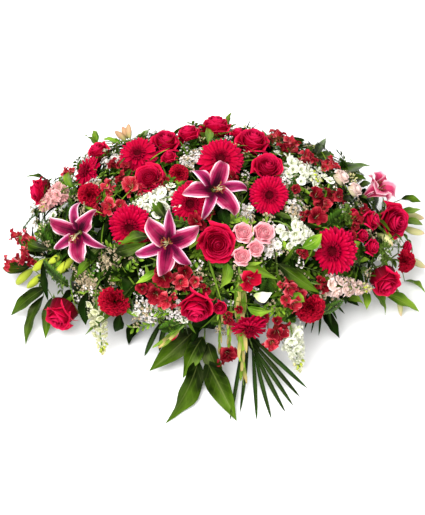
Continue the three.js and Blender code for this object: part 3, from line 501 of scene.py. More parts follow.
LOOKS = {
    # In the rose, gerbera and carnation petals the dark foot colour is painted shade deep in the head, and
    # the bright rim colour a painted highlight.
    "rose": petal_look("rose_petal", "5a000c", "b4022c", "e4205a", vein=0.15, light=0.2),
    "rose_outer": petal_look("rose_outer_petal", "66000e", "b00028", "da1c4c", vein=0.2, light=0.2),
    "gerbera": petal_look("gerbera_ray", "640016", "b80030", "d60e4c", vein=0.6, folds=7.0, glow=0.12),
    "gerbera_inner": petal_look("gerbera_inner_ray", "460010", "960026", "c60c3c", vein=0.5, folds=5.0),
    "gerbera_eye": grain_look("gerbera_eye", "200206", "74081c", 900.0, 0.9, gloss=0.04),
    "gerbera_ring": petal_look("gerbera_ring_floret", "3c0008", "84061e", "c83c4c"),
    "carnation": petal_look("carnation_petal", "5a000e", "a80022", "d01a3a", vein=0.35),
    "lily": lily_look("lily_petal", "34021c", "86083c", "d0708f", "f4dada", "28020f"),
    "lily_back": lily_look("lily_sepal", "460626", "8a1048", "d484a8", "f6e4e6", "34031a", 0.7),
    "pink_lily": lily_look("pink_lily_petal", "980e38", "c43460", "e094a8", "f0ccd0", "8c1438"),
    "anther": grain_look("lily_anther", "3c140c", "8c4420", 1400.0, 0.8),
    "filament": grain_look("lily_filament", "b9b878", "e2dcb4", 300.0, 0.4),
    "coral": petal_look("alstroemeria_petal", "b06848", "bc1a30", "f08084", 0.5, 0.6, folds=9.0, light=0.6),
    "coral_streaked": petal_look(
        "alstroemeria_streaked_petal", "c89848", "b82434", "a0182c", 0.5, 0.5, folds=9.0, streaks="2c0408"
    ),
    "dark_coral": petal_look(
        "dark_alstroemeria_petal", "80341c", "7c0418", "cc3c48", 0.5, 0.6, folds=9.0, light=0.5
    ),
    "gladiolus": petal_look("gladiolus_petal", "d8a0a0", "ac0024", "e02444", vein=0.4, folds=9.0, light=0.4),
    "gladiolus_bud": petal_look("gladiolus_bud", "7c8c3c", "a8a058", "a82c30", vein=0.5, folds=12.0),
    "pink": petal_look("pink_rose_petal", "cc6074", "ee98a4", "fcd4d4", vein=0.1, glow=0.26),
    "blush": petal_look("blush_petal", "dcd0a8", "f0d2c8", "faeae4", vein=0.2, glow=0.24, folds=14.0),
    "dusty_pink": petal_look("dusty_pink_petal", "d8c8a0", "dc9c9c", "eec4bc", vein=0.2, glow=0.22),
    "white": petal_look("white_petal", "b4c470", "e6e8d2", "f6f6ee", vein=0.2, glow=0.18, folds=14.0),
    "green_white": petal_look("green_white_petal", "a8b060", "dadcae", "f2efd6", glow=0.22, folds=14.0),
    "white_small": petal_look("statice_floret", "a08c84", "e4dcd6", "f8f4f0", vein=0.2),
    "caspia": petal_look("caspia_floret", "745c40", "b8a484", "dcceb0", vein=0.3),
    "solidago": petal_look("solidago_floret", "36501a", "5c7c2c", "8ca050", vein=0.3),
    "yellow_green": petal_look("lily_bud", "849430", "b8c63c", "d6dc6c", rough=0.45, vein=0.35, folds=16.0),
    "pale_bud": petal_look("pale_lily_bud", "9cac50", "d4d094", "e6c4a4", rough=0.45, vein=0.3),
    "blush_bud": petal_look("blush_lily_bud", "a0a45c", "cca47c", "c47c68", rough=0.45, vein=0.4, folds=12.0),
    "leaf": leaf_look("green_leaf", "0c1c03", "4e7010", "8c9c50", tip=0.64, rough=0.36, gloss=0.2),
    "leaf_light": leaf_look("light_leaf", "46700e", "94b838", "b4c470"),
    # A leaf darkened nearly to black: painted shade for the leaves that lie among and under the others.
    "leaf_deep": leaf_look("painted_shade_leaf", "030801", "142c06", "324e1a", gloss=0.05),
    "sheath": leaf_look("gladiolus_sheath", "607428", "b8a468", "8c3028", veins=1.0, side_veins=0.0, tip=0.9),
    "palm": leaf_look("palm_blade", "081604", "1c3c0e", "3c5a20", veins=1.0, side_veins=0.0, tip=0.2),
    "fern": leaf_look("fern_frond", "142c04", "4a7620", "7c9848", veins=4.0),
    "stem": grain_look("green_stem", "2c4812", "76903a", 160.0, 0.5),
    "foam": grain_look("wet_foam", "1c3420", "38583c", 1500.0, 0.95, 1.0, 0.001),
    "tray": grain_look("tray_plastic", "10200f", "1c3018", 700.0, 0.45, 0.15, 0.0002),
}


# Flower heads, each facing +Z with its base at the origin. A head is a list of (sheet, look, tone).

# How deep the kinds are, as shares of their width.
ROSE_DEPTH, CARNATION_DEPTH, GERBERA_DEPTH, LILY_THROAT, TRUMPET_DEPTH = 0.8, 0.72, 0.16, 0.3, 0.62
SEPALS = 5
SPRAY_ROSE_PETALS = 16


def rose(size, rng, petals=25, look="rose", outer="rose_outer", opened=1.0):
    """A spiral of petals: the inner ones wrap into a cone, and the outer ones open and roll back."""
    R, H = size / 2 * (1.44 - 0.38 * opened), size * ROSE_DEPTH
    sheets = []
    rows, columns = (12, 13) if size > 52 else (9, 9)
    v = np.linspace(0, 1, rows)
    u = np.linspace(-1, 1, columns)[None, :]
    for k in range(petals):
        t = k / (petals - 1)
        roll = smooth(v, 0.74, 1.0)
        reach = 0.015 + (0.45 + 0.38 * opened) * t**0.78
        radius = R * (0.04 + (reach - 0.04) * np.sin(v * pi / 2) ** (0.9 - 0.25 * t))
        radius = radius + R * roll * (0.13 * t**1.3 - 0.06 * (1 - t) ** 4)
        top = H * (1.0 - 0.05 * (1 - t) ** 6 - (0.08 + 0.26 * opened) * t**1.6) * rng.uniform(0.97, 1.02)
        height = top * (0.04 + 0.96 * v**1.05) - H * (0.02 + 0.13 * t**2) * roll**2
        spread = 2.3 - 1.45 * t**0.5
        widen = 0.35 + 0.65 * np.sin(np.minimum(1, v * 1.5) * pi / 2)
        swirl = 1.2 * (1 - t) ** 2 * v
        angle = k * GOLDEN_ANGLE + swirl[:, None] + spread * u * widen[:, None]
        wave = (0.008 + 0.03 * t) * np.sin(2.2 * pi * u + rng.uniform(0, 6)) * (v**3)[:, None]
        r = radius[:, None] * (1 + (0.10 - 0.04 * t) * u) + R * wave
        r = r + R * 0.08 * t * np.abs(u) ** 3 * roll[:, None]
        z = height[:, None] - H * (0.05 + 0.26 * t) * np.abs(u) ** 2.4 * (v**2)[:, None] + H * 0.4 * wave
        # Inner petals get a lower tone: painted shade deep in the rose.
        tone = 0.32 + 0.22 * t + rng.uniform(-0.05, 0.12)
        sheets.append((polar(r, angle, z), look if t < 0.7 else outer, tone))
    heart = [(0.6, 0.2), (0.52, 0.5), (0.4, 0.64), (0.26, 0.74), (0.12, 0.8), (0.001, 0.82)]
    # The heart's low tone is painted shade in the middle of the rose.
    sheets.append((lathe([(R * r, H * z) for r, z in heart], 20), look, 0.1 if look == "rose" else 0.3))
    sepal = np.array([(0.1, 0.08), (0.25, 0.1), (0.45, 0.16), (0.6, 0.14), (0.7, 0.04)]) * (R, H)
    for k in range(SEPALS):
        spine, side, normal = radial_spine(k * 2 * pi / SEPALS, sepal)
        half = 0.13 * R * taper(len(sepal), 0.3, 0.7, 0.8)
        sheets.append((ribbon(spine, side, normal, half, 3, cup=0.4), "leaf", 0.6))
    hip = [(3.2, -4), (0.12 * R, 0), (0.17 * R, 0.05 * H), (0.2 * R, 0.14 * H)]
    sheets.append((lathe(hip, 8), "stem", 0.5))
    return sheets


def spray_rose(look):
    opened = {"blush": 0.4, "pink": 0.65}.get(look, 0.9)
    swell = 1.1 if look == "pink" else 1.0
    return lambda size, rng: rose(size * swell, rng, SPRAY_ROSE_PETALS, look, look, opened)


def ray_petal(angle, foot, middle, tip, width, rows, columns, cup=0.25, blunt=0.35, **wave):
    """A petal that leaves the axis at an angle. foot, middle and tip are (radius, height)."""
    spine, side, normal = radial_spine(angle, bezier(rows, foot, middle, tip))
    return ribbon(spine, side, normal, width * taper(rows, 0.5, blunt, 0.35), columns, cup=cup, **wave)


# Layers of a gerbera's rays from the lowest: count, reach, rise of the middle, rise of the tip, half-width.
GERBERA_LAYERS = [
    (38, 1.0, 0.3, 0.35, 0.088),
    (34, 0.95, 0.6, 0.8, 0.08),
    (26, 0.78, 0.8, 1.15, 0.066),
    (28, 0.44, 1.0, 1.4, 0.036),
    (30, 0.33, 1.1, 1.5, 0.027),
]
EYE_FLORETS = 110
BRACTS = 22


def gerbera(size, rng):
    """Layers of long rays about an eye of tiny florets, over green bracts."""
    R, H = size / 2, size * GERBERA_DEPTH
    sheets = []
    for layer, (count, reach, middle, high, width) in enumerate(GERBERA_LAYERS):
        inner = layer > 2
        # pale raises the tone of each higher layer of outer rays: painted light on the upper rays and painted
        # shade on the lower ones.
        look, start, rows, columns, pale = (
            ("gerbera_inner", 0.16, 6, 3, 0.0) if inner else ("gerbera", 0.2, 9, 5, 0.1 * layer)
        )
        for k in range(count):
            angle = (k + 0.5 * (layer % 2) + rng.uniform(-0.2, 0.2)) * 2 * pi / count
            far = R * reach * rng.uniform(0.92, 1.0)
            rise = H * (high + rng.uniform(-0.35, 0.35))
            bend = (0.6 * far, H * middle + 0.6 * rise)
            petal = ray_petal(
                angle, (start * R, H * 0.5), bend, (far, rise), width * R, rows, columns,
                cup=-0.5, blunt=0.32, ruffle=0.014 * R, waves=1.5, phase=rng.uniform(0, 6),
            )
            sheets.append((petal, look, rng.uniform(0.25, 0.6) + pale))
    for k in range(EYE_FLORETS):
        share = sqrt((k + 0.5) / EYE_FLORETS)
        angle = k * GOLDEN_ANGLE
        length = H * (0.5 + 0.3 * smooth(share, 0.2, 0.95))
        floret = lathe([(0.009 * R, 0), (0.013 * R, 0.6 * length), (0.007 * R, length)], 5)
        axis = unit(polar(0.3 * share, angle, 1))
        place = standing(polar(0.2 * R * share, angle, H * 0.5), axis, 40 * k)
        look = "gerbera_eye" if share < 0.62 else "gerbera_ring"
        sheets.append((placed(floret, place), look, rng.uniform(0.3, 0.7)))
    under = [(0.36 * R, 0.4 * H), (0.3 * R, 0.7 * H), (0.18 * R, 0.95 * H), (0.01, 0.9 * H)]
    sheets.append((lathe(under, 20), "gerbera_eye", 0.4))
    for k in range(BRACTS):
        angle = k * 2 * pi / BRACTS
        bract = ray_petal(angle, (0.1 * R, 0), (0.3 * R, 0), (0.38 * R, 0.5 * H), 0.05 * R, 4, 3)
        sheets.append((bract, "leaf", rng.uniform(0.3, 0.6)))
    cup = [(3.2, -4), (0.12 * R, 0), (0.3 * R, 0.2 * H), (0.36 * R, 0.42 * H)]
    sheets.append((lathe(cup, 12), "stem", 0.5))
    return sheets


LILY_PETALS = 6
LILY_STAMENS = 6
ANTHER_GIRTH = vec(0.008, 0.024, 0.028, 0.024, 0.008)


def lily(size, rng):
    """An open star lily: three broad petals over three narrow ones, waved and rolled back, and stamens."""
    R, T = size / 2, size * LILY_THROAT
    sheets = []
    rows = 20
    v = np.linspace(0, 1, rows)[:, None]
    for k in range(LILY_PETALS):
        broad = k % 2 == 0
        look, width, waved, lower = ("lily", 0.27, 0.085, 0) if broad else ("lily_back", 0.175, 0.05, -1.6)
        angle = k * pi / 3 + rng.uniform(-0.12, 0.12)
        reach = R * rng.uniform(0.84, 1.02)
        tip = (reach, T * rng.uniform(-0.5, 0.6))
        profile = bezier(
            rows, (0.02 * R, 0.1 * T), (0.05 * R, 0.7 * T), (0.36 * R, 1.35 * T), (0.92 * reach, 2.1 * T), tip
        )
        spine, side, normal = radial_spine(angle, profile, lower)
        bent, _ = rolled(side, normal, rng.uniform(-1.1, 1.1) * v**1.5)
        spine = spine + side * R * rng.uniform(-0.14, 0.14) * v**2
        half = R * width * rng.uniform(0.9, 1.1) * taper(rows, 0.9, 0.95, 0.14)
        petal = ribbon(
            spine, bent, normal, half, 11, cup=-0.4, fold=0.45,
            ruffle=R * waved, waves=rng.uniform(1.8, 3.2), phase=rng.uniform(0, 6),
        )
        sheets.append((petal, look, rng.uniform(0.38, 0.62)))
    lean = rng.uniform(0, 2 * pi)
    drift = polar(0.12 * R, lean, 0)
    for k in range(LILY_STAMENS):
        angle = lean + (k - 2.5) * 0.9
        tip = drift + polar(0.13 * R, angle, rng.uniform(1.75, 2.1) * T)
        rod = bezier(8, (0, 0, 0.15 * T), (0, 0, 1.0 * T), drift * 0.5 + vec(0, 0, 1.5 * T), tip)
        sheets.append((tube(rod, 0.012 * R, 5), "filament", 0.5))
        along = unit(vec(*rng.normal(0, 1, 2), 0.4)) * 0.07 * R
        bar = [tip + along * s for s in (-1, -0.6, 0, 0.6, 1)]
        sheets.append((tube(bar, R * ANTHER_GIRTH, 6), "anther", rng.uniform(0.4, 0.9)))
    end = drift * 1.9 + vec(0, 0, 2.1 * T)
    pistil = bezier(8, (0, 0, 0.2 * T), (0, 0, T), drift * 1.3 + vec(0, 0, 1.7 * T), end)
    sheets.append((tube(pistil, R * np.linspace(0.024, 0.015, 8), 6), "filament", 0.6))
    stigma = lathe([(0.014 * R, 0), (0.036 * R, 0.02 * R), (0.03 * R, 0.05 * R), (0.002, 0.045 * R)], 9)
    sheets.append((stigma + end, "gerbera_eye", 0.8))
    throat = [(3.2, -4), (0.05 * R, 0), (0.07 * R, 0.3 * T), (0.05 * R, 0.5 * T)]
    sheets.append((lathe(throat, 8), "yellow_green", 0.5))
    return sheets


CARNATION_PETALS = 54


def carnation(size, rng):
    """A dense dome of fan-shaped petals that each stand at their own turn, with frilled and toothed rims."""
    R, H = size / 2, size * CARNATION_DEPTH
    sheets = []
    columns = 19
    v = np.linspace(0, 1, 7)[:, None]
    u = np.linspace(-1, 1, columns)[None, :]
    teeth = np.where(np.arange(columns) % 2, -1.0, 1.0)[None, :]
    heart = vec(0, 0, 0.34 * H)
    for k in range(CARNATION_PETALS):
        lean = 1.55 * ((k + 0.5) / CARNATION_PETALS) ** 0.6 * rng.uniform(0.9, 1.1)
        turn = k * GOLDEN_ANGLE + rng.uniform(-0.8, 0.8)
        along = polar(sin(lean), turn, cos(lean))
        level = vec(-sin(turn), cos(turn), 0)
        roll = rng.uniform(-1.2, 1.2)
        side = level * cos(roll) + np.cross(along, level) * sin(roll)
        normal = np.cross(side, along)
        reach = 1 / hypot(sin(lean) / R, cos(lean) / (0.66 * H)) * rng.uniform(0.93, 1.02)
        frill = np.sin(2 * pi * rng.uniform(1.2, 2.0) * u + rng.uniform(0, 6)) * v**2
        far = reach * v * (1 - 0.16 * u**2 + 0.03 * teeth * v**4) + 0.05 * R * frill
        grid = heart + along * far[..., None] + side * (0.5 * R * v**1.1 * u)[..., None]
        grid = grid + normal * (0.15 * R * frill)[..., None]
        sheets.append((grid, "carnation", rng.uniform(0.25, 0.65)))
    calyx = [(3.0, -4), (0.2 * R, 0), (0.24 * R, 0.2 * H), (0.25 * R, 0.36 * H), (0.2 * R, 0.44 * H)]
    sheets.append((lathe(calyx, 10), "stem", 0.6))
    return sheets


def trumpet(size, rng, look, inner_look, stamens):
    """A funnel of three broad and three narrow petals, each waved and turned a little by itself."""
    R, H = size / 2, size * TRUMPET_DEPTH
    sheets = []
    rows, columns = (9, 7) if size > 60 else (8, 5)
    v = np.linspace(0, 1, rows)[:, None]
    for k in range(LILY_PETALS):
        inner = k % 2 == 1
        high, raised, width, blunt = (0.96, 0.6, 0.27, 0.55) if inner else (0.88, 0.0, 0.45, 0.42)
        angle = k * pi / 3 + rng.uniform(-0.12, 0.12)
        bend = (0.42 * R, 1.2 * H * rng.uniform(0.9, 1.1))
        tip = (R * rng.uniform(0.72, 1.02), high * H * rng.uniform(0.75, 1.15))
        profile = bezier(rows, (0.05 * R, 0), (0.2 * R, 0.7 * H), bend, tip)
        spine, side, normal = radial_spine(angle, profile, raised)
        side, normal = rolled(side, normal, rng.uniform(-0.7, 0.7) * v**1.5)
        half = R * width * taper(rows, 0.85, blunt, 0.2)
        phase = rng.uniform(0, 6)
        petal = ribbon(spine, side, normal, half, columns, cup=0.4, ruffle=0.09 * R, waves=1.4, phase=phase)
        sheets.append((petal, inner_look if inner and k < 5 else look, rng.uniform(0.3, 0.7)))
    filament = bezier(4, (0.03 * R, 0.3 * H), (0.1 * R, 0.8 * H), (0.26 * R, 1.02 * H))
    for k in range(stamens):
        rod = polar(filament[:, 0], k * 2 * pi / stamens + 0.4, filament[:, 1])
        sheets.append((tube(rod, 0.016 * R, 4), "filament", 0.5))
        sheets.append((tube(rod[-2:] + vec(0, 0, 0.02 * R), R * vec(0.035, 0.03), 5), "anther", 0.6))
    neck = [(1.6, -3), (0.1 * R, 0), (0.14 * R, 0.16 * H), (0.1 * R, 0.34 * H)]
    sheets.append((lathe(neck, 8), "stem", 0.6))
    return sheets


def alstroemeria(size, rng, look=None):
    """Three florets from one foot, a large one and two smaller, that lean away from each other."""
    florets = Plant()
    look = look or ("dark_coral" if rng.uniform() < 0.4 else "coral")
    first = rng.uniform(0, 2 * pi)
    for share, slope, turn in ((1.25, 0.3, 0.0), (0.85, 1.05, 2.1), (0.6, 1.2, 4.2)):
        place = standing(vec(0, 0, 0), unit(polar(slope, turn + first, 1)), rng.uniform(0, 360))
        inner_look = look if look == "dark_coral" else "coral_streaked"
        florets.stand(trumpet(size * share, rng, look, inner_look, 2), place)
    return florets.sheets


def dark_alstroemeria(size, rng):
    return alstroemeria(size, rng, "dark_coral")


def large_trumpet(size, rng):
    return trumpet(size * 1.08, rng, "pink_lily", "pink_lily", 6)


def closed_bud(foot, tip, width, rng, look):
    """A bud along a line: a long body in three ribs, swelling past its middle and pointed."""
    length = np.linalg.norm(tip - foot)
    rows, columns = (12, 15) if width > 9 else (6, 7)
    v = np.linspace(0, 1, rows)[:, None]
    half = width / 2 * taper(rows, 0.62, 0.62, 0.26)[:, None]
    half[0], half[-1] = width * 0.12, 0.3
    angle = np.linspace(0, 2 * pi, columns)[None, :]
    grid = polar(half * (1 + 0.07 * np.cos(3 * angle + 1.2 * v)), angle, v * length)
    bend = 0.06 * length * np.sin(pi * v) * rng.uniform(-1, 1)
    place = standing(foot, unit(tip - foot), rng.uniform(0, 360))
    return placed(grid + X * bend[..., None], place), look, rng.uniform(0.4, 0.7)


def rosette(at, direction, size, rng, look, petals=9):
    """A small double floret, as on a spike of stock: broad petals in two layers about a closed middle."""
    sheets = []
    place = standing(at, direction, rng.uniform(0, 360))
    v = np.linspace(0, 1, 5)[:, None]
    u = np.linspace(-1, 1, 7)[None, :]
    for k in range(petals):
        outer = smooth(k / (petals - 1), 0.3, 0.6)
        radius = size / 2 * (0.06 + (0.3 + 0.64 * outer) * v**1.2)
        height = size * (0.46 - 0.2 * outer) * np.sin(v * pi * (0.5 + 0.14 * outer))
        frill = np.sin(1.5 * pi * u + rng.uniform(0, 6)) * v**2
        angle = k * GOLDEN_ANGLE + 0.75 * u * np.sin(0.3 + 1.5 * v)
        r = radius * (1 - 0.12 * np.abs(u) ** 3) + size * 0.03 * frill
        z = height + size * 0.05 * frill - size * 0.04 * u**2 * v
        sheets.append((placed(polar(r, angle, z), place), look, rng.uniform(0.35, 0.75)))
    return sheets


def cup_floret(at, direction, radius, depth, rng, look, lobes=5):
    """A tiny open floret in one sheet, its rim in lobes."""
    v = np.linspace(0, 1, 3)[:, None]
    angle = np.linspace(0, 2 * pi, 2 * lobes + 1)[None, :]
    lobe = 1 + 0.28 * v * np.cos(lobes * angle)
    place = standing(at, direction, rng.uniform(0, 360))
    grid = polar(radius * (0.12 + 0.88 * v**1.4) * lobe, angle, depth * np.sin(v * pi / 2))
    return placed(grid, place), look, rng.uniform(0.35, 0.7)


# Leaves: the outline's rise and fall, its crease, ruffle, waves and twist, and its sheet's columns and rows

LEAF_FORMS = {
    "broad": (0.75, 1.15, 0.45, 0.09, 2.2, 1.0, 7, 15),
    "coarse": (0.6, 1.0, 0.34, 0.05, 1.5, 0.6, 5, 8),
    "strap": (0.75, 0.7, 0.35, 0.02, 2.0, 0.3, 5, 12),
    "small": (0.5, 0.7, 0.3, 0.04, 2.0, 0.4, 5, 7),
    "tiny": (0.6, 0.6, 0.3, 0.0, 1.0, 0.3, 3, 5),
}


def leaf_frame(run, upper):
    """The heading of a leaf, the direction across it and its normal, from its run and its upper side."""
    heading = unit(run)
    across = unit(np.cross(heading, upper))
    return heading, across, np.cross(across, heading)


def leaf_sheet(foot, tip, width, upper, arch, rng, look, form="broad"):
    """A leaf from foot to tip, bowed by arch towards its upper side, creased, waved and twisted."""
    rise, fall, fold, ruffle, waves, twist, columns, rows = LEAF_FORMS[form]
    _, across, normal = leaf_frame(tip - foot, upper)
    v = np.linspace(0, 1, rows)[:, None]
    sway = width * 0.2 * rng.uniform(-1, 1)
    spine = foot + (tip - foot) * v + normal * arch * 4 * v * (1 - v) + across * sway * np.sin(pi * v)
    side, normal = rolled(across, normal, twist * rng.uniform(-1, 1) * v)
    half = width / 2 * taper(rows, rise, fall, 0.12)
    phase = rng.uniform(0, 6)
    grid = ribbon(spine, side, normal, half, columns, 0.0, fold, width * ruffle, waves, phase)
    return grid, look, rng.uniform(0.25, 0.75)


def fern_frond(foot, tip, width, upper, rng, pairs):
    """A frond: a midrib with toothed leaflets in pairs that shorten towards the tip."""
    run = tip - foot
    heading, across, normal = leaf_frame(run, upper)
    length = np.linalg.norm(run)
    rows = 7
    teeth = 1 + 0.3 * np.where(np.arange(rows) % 2, 1, -1)
    half = 0.5 * length / pairs * 1.25 * taper(rows, 0.25, 0.6, 0.4) * teeth

    def at(t):
        return foot + run * t + normal * 0.1 * length * sin(pi * t)

    sheets = [(tube([at(t) for t in np.linspace(0, 1, 9)], np.linspace(1.0, 0.3, 9), 5), "stem", 0.5)]
    for k in range(pairs):
        t = 0.1 + 0.88 * k / pairs
        reach = width / 2 * sin(pi * (0.22 + 0.76 * t)) ** 0.8 * rng.uniform(0.9, 1.05)
        for sign in (-1, 1):
            start = at(t + 0.02 * sign)
            end = start + across * sign * reach + heading * reach * 0.55 - normal * reach * 0.12
            spine = bezier(rows, start, (start + end) / 2 + normal * reach * 0.1, end)
            side = unit(np.cross(normal, end - start))
            sheets.append((ribbon(spine, side, normal, half, 3, fold=0.2), "fern", rng.uniform(0.3, 0.75)))
    return sheets


# Plants

# The middle and the radius of each head that has its place, for the growth that keeps clear of them.
HEADS = []
FLORETS_OF_STATICE = 95
SPRIGS_OF_PLUME = 32
FLORETS_OF_SPRIG = 15
FRONDS_OF_TUFT = 7


def head_place(kind_depth, head):
    """Where a head stands: its base, its direction and its matrix."""
    if "y" in head:
        middle = over_mound(head["across"], head["y"], head["lift"])
    else:
        middle = on_mound(head["across"], head["up"], head["lift"])
    direction = facing(*head["face"]) if head["face"] else outward_at(middle)
    HEADS.append((middle, head["size"] / 2))
    base = middle - direction * kind_depth * head["size"] / 2
    return base, direction, standing(base, direction, head["spin"])


def stem(plant, path, radius=STEM_RADIUS):
    plant.add(tube(path, radius * np.linspace(1.0, 0.85, len(path))), "stem")


def stem_leaves(plant, path, rng, count=2, length=34, look="leaf"):
    """Small leaves at the upper end of a stem."""
    heading = unit(path[-1] - path[-3])
    for k in range(count):
        at = path[-2 - k % 2]
        side = around(heading, rng.uniform(0, 6.28))
        tip = at + tilted(heading, side, 1.2) * length * rng.uniform(0.8, 1.2)
        plant.add(*leaf_sheet(at, tip, length * 0.42, heading, 3, rng, look, "small"))


def bloom(plant, rng, heads, make, depth):
    """Large heads, the first on its own stem and the others on branches that fork from it."""
    fork = None
    for head in heads:
        base, direction, matrix = head_place(depth, head)
        path = stem_path(base + direction * INTO_HEAD, direction)
        if fork is None:
            out = unit(path[1] - path[0])
            fork = path[0] + out * (STRAIGHT - STEM_END)
        else:
            path = branch(fork, out, base + direction * INTO_HEAD, direction)
        stem(plant, path)
        stem_leaves(plant, path, rng)
        plant.stand(make(head["size"], rng, **head["form"]), matrix)


def forked(plant, places, fork, radius=STEM_RADIUS, root_shift=0.0):
    """A stem up to a crotch below the middle of some places, and a branch from there to each of them."""
    middle = sum(base for base, _ in places) / len(places)
    inward = outward_at(middle)
    crotch = middle - inward * fork
    stem(plant, stem_path(crotch, inward, root_shift), radius)
    for k, (base, direction) in enumerate(places):
        start = crotch - inward * (FIRST_FORK + FORK_STEP * k)
        yield branch(start, inward, base + direction * INTO_HEAD, direction)


def cluster(plant, rng, heads, make, depth):
    """Small heads on the thin branches of one stem."""
    places = [head_place(depth, head) for head in heads]
    branches = forked(plant, [place[:2] for place in places], FORK_BELOW_HEADS)
    for head, (_, _, matrix), path in zip(heads, places, branches):
        stem(plant, path, STALK_RADIUS)
        stem_leaves(plant, path, rng, 1, 26, "leaf_light")
        plant.stand(make(head["size"], rng, **head["form"]), matrix)


STOCK_GIRTH = 54.0
TIP_BUDS = 16
SMALLEST_TRUMPET = 40


def stock(plant, rng, start, end, look):
    """A dense spike of double florets, smaller to the tip, which ends in buds."""
    foot, tip = on_mound(*start), on_mound(*end)
    run = tip - foot
    axis = unit(run)
    stem(plant, np.vstack([stem_path(foot, axis), foot + run * 0.96]), SPIKE_STEM)
    count, share = (38, 0.74) if look == "green_white" else (26, 1.0)
    for k in range(count):
        t = k / (count - 1)
        side = around(axis, k * GOLDEN_ANGLE)
        size = (32 - 16 * t**1.6) * rng.uniform(0.88, 1.08) * share
        reach = STOCK_GIRTH / 2 * (1 - 0.5 * t * t - 0.15 * t) - size * 0.3
        at = foot + run * (0.03 + 0.93 * t) + side * reach * 0.8
        direction = tilted(side, axis, 0.25 + 0.75 * t)
        plant.sheets.extend(rosette(at, direction, size, rng, look, 10 if t < 0.75 else 6))
    for k in range(TIP_BUDS):
        side = around(axis, k * GOLDEN_ANGLE)
        at = tip - axis * (26 - 1.7 * k) + side * (8 - 0.45 * k)
        bud_tip = at + tilted(axis, side, 0.8 - 0.05 * k) * (11 - 0.25 * k)
        plant.add(*closed_bud(at, bud_tip, 6.5 - 0.15 * k, rng, "pale_bud" if k % 3 else "yellow_green"))


def gladiolus(plant, rng, spikes):
    """Spikes that share a stem: sheathed buds in two ranks, smaller to the tip, and open florets."""
    first = on_mound(*spikes[0][0], -4)
    inward = outward_at(first)
    crotch = first - inward * FORK_BELOW_SPIKES
    stem(plant, stem_path(crotch, inward))
    for start, end, lift, (count, longest, shortest), opened in spikes:
        foot, tip = on_mound(*start, lift - 14, 14), on_mound(*end, lift, 14)
        run = tip - foot
        axis = unit(run)
        rank = unit(np.cross(axis, OUT))
        lower = branch(crotch - inward * FIRST_FORK, inward, foot, axis)
        radii = np.append(np.linspace(STEM_RADIUS, SPIKE_STEM, len(lower)), SPIKE_TIP)
        plant.add(tube(np.vstack([lower, tip]), radii), "stem", 0.6)
        for k in range(count):
            t = (k + rng.uniform(0.3, 0.7)) / count
            size = (longest + (shortest - longest) * t) * rng.uniform(0.85, 1.15)
            sign = 1 if k % 2 else -1
            at = foot + run * (0.04 + 0.82 * t)
            bud_lean = unit(axis * 1.5 + OUT * rng.uniform(0.1, 0.4) + rank * sign * rng.uniform(0.0, 0.25))
            plant.add(*closed_bud(at, at + bud_lean * size * 0.9, size * 0.15, rng, "gladiolus_bud"))
            for side, wide, sheath_look in ((-sign, 0.17, "leaf_light"), (sign, 0.16, "sheath")):
                peel = unit(axis + rank * side * rng.uniform(-0.04, 0.12) + OUT * rng.uniform(0, 0.12))
                low = at + rank * side * size * 0.05 + OUT * (3 + side * sign)
                end = low + peel * size * rng.uniform(0.9, 1.3)
                plant.add(*leaf_sheet(low, end, size * wide, OUT, 6, rng, sheath_look, "strap"))
        for t, size, opened_look in opened:
            at = foot + run * t
            if size < SMALLEST_TRUMPET:
                plant.add(*closed_bud(at - rank * 4, at + bud_lean * size, 11, rng, opened_look))
                continue
            for turn in range(1 if opened_look == "gladiolus" else 2):
                lean = unit(axis * (0.5 + 0.5 * turn) + OUT * 0.8 - rank * 0.6)
                plant.stand(trumpet(size, rng, opened_look, opened_look, 3), standing(at, lean, 25 * turn))


def statice(plant, rng, base, direction, spread, depth):
    """A loose tuft of tiny florets on threads that leave one point, some open and white and some faded."""
    for k in range(FLORETS_OF_STATICE):
        share = sqrt((k + 0.5) / FLORETS_OF_STATICE)
        side = around(direction, k * GOLDEN_ANGLE + rng.uniform(-0.3, 0.3)) * share
        rise = depth * (1.08 - 0.4 * share**2) * rng.uniform(0.62, 1.08)
        at = base + side * spread * 1.1 + direction * rise
        heading = unit(direction + side * 0.9 + rng.normal(0, 0.35, 3))
        size = rng.uniform(2.6, 5.0)
        look = "caspia" if rng.uniform() < 0.22 else "white_small"
        at = at - heading * size * 0.6
        plant.add(*cup_floret(at, heading, size, size * 0.9, rng, look))
        if k % 2 == 0:
            plant.add(tube(bezier(4, base, base + direction * rise * 0.6, at), 0.45, 3), "stem")


def plume(plant, rng, base, direction, spread, depth, look):
    """A tuft of fine sprigs, each a thread with tiny florets or leaflets all along it."""
    for k in range(SPRIGS_OF_PLUME):
        share = sqrt((k + 0.5) / SPRIGS_OF_PLUME)
        side = around(direction, k * GOLDEN_ANGLE) * spread * share
        top = base + side * 1.1 + direction * depth * (1.3 - 0.5 * share)
        thread = bezier(8, base, base + direction * depth * 0.55 + side * 0.3, top)
        plant.add(tube(thread, np.linspace(0.6, 0.3, 8), 3), "stem")
        for j in range(FLORETS_OF_SPRIG):
            t = 0.35 + 0.65 * j / (FLORETS_OF_SPRIG - 1)
            at = thread[int(t * 7)] + rng.normal(0, 2.2, 3)
            heading = unit(direction + rng.normal(0, 0.6, 3))
            plant.add(*cup_floret(at, heading, rng.uniform(2.0, 3.8), 2.8, rng, look, 4))


def fern_tuft(plant, rng, base, direction, spread, depth):
    """Fronds that spread from one point."""
    for k in range(FRONDS_OF_TUFT):
        side = around(direction, k * 2 * pi / FRONDS_OF_TUFT)
        tip = base + side * spread * rng.uniform(0.9, 1.1) + direction * depth * rng.uniform(0.7, 1.0)
        plant.sheets.extend(fern_frond(base, tip, spread * 0.75, direction, rng, 10))


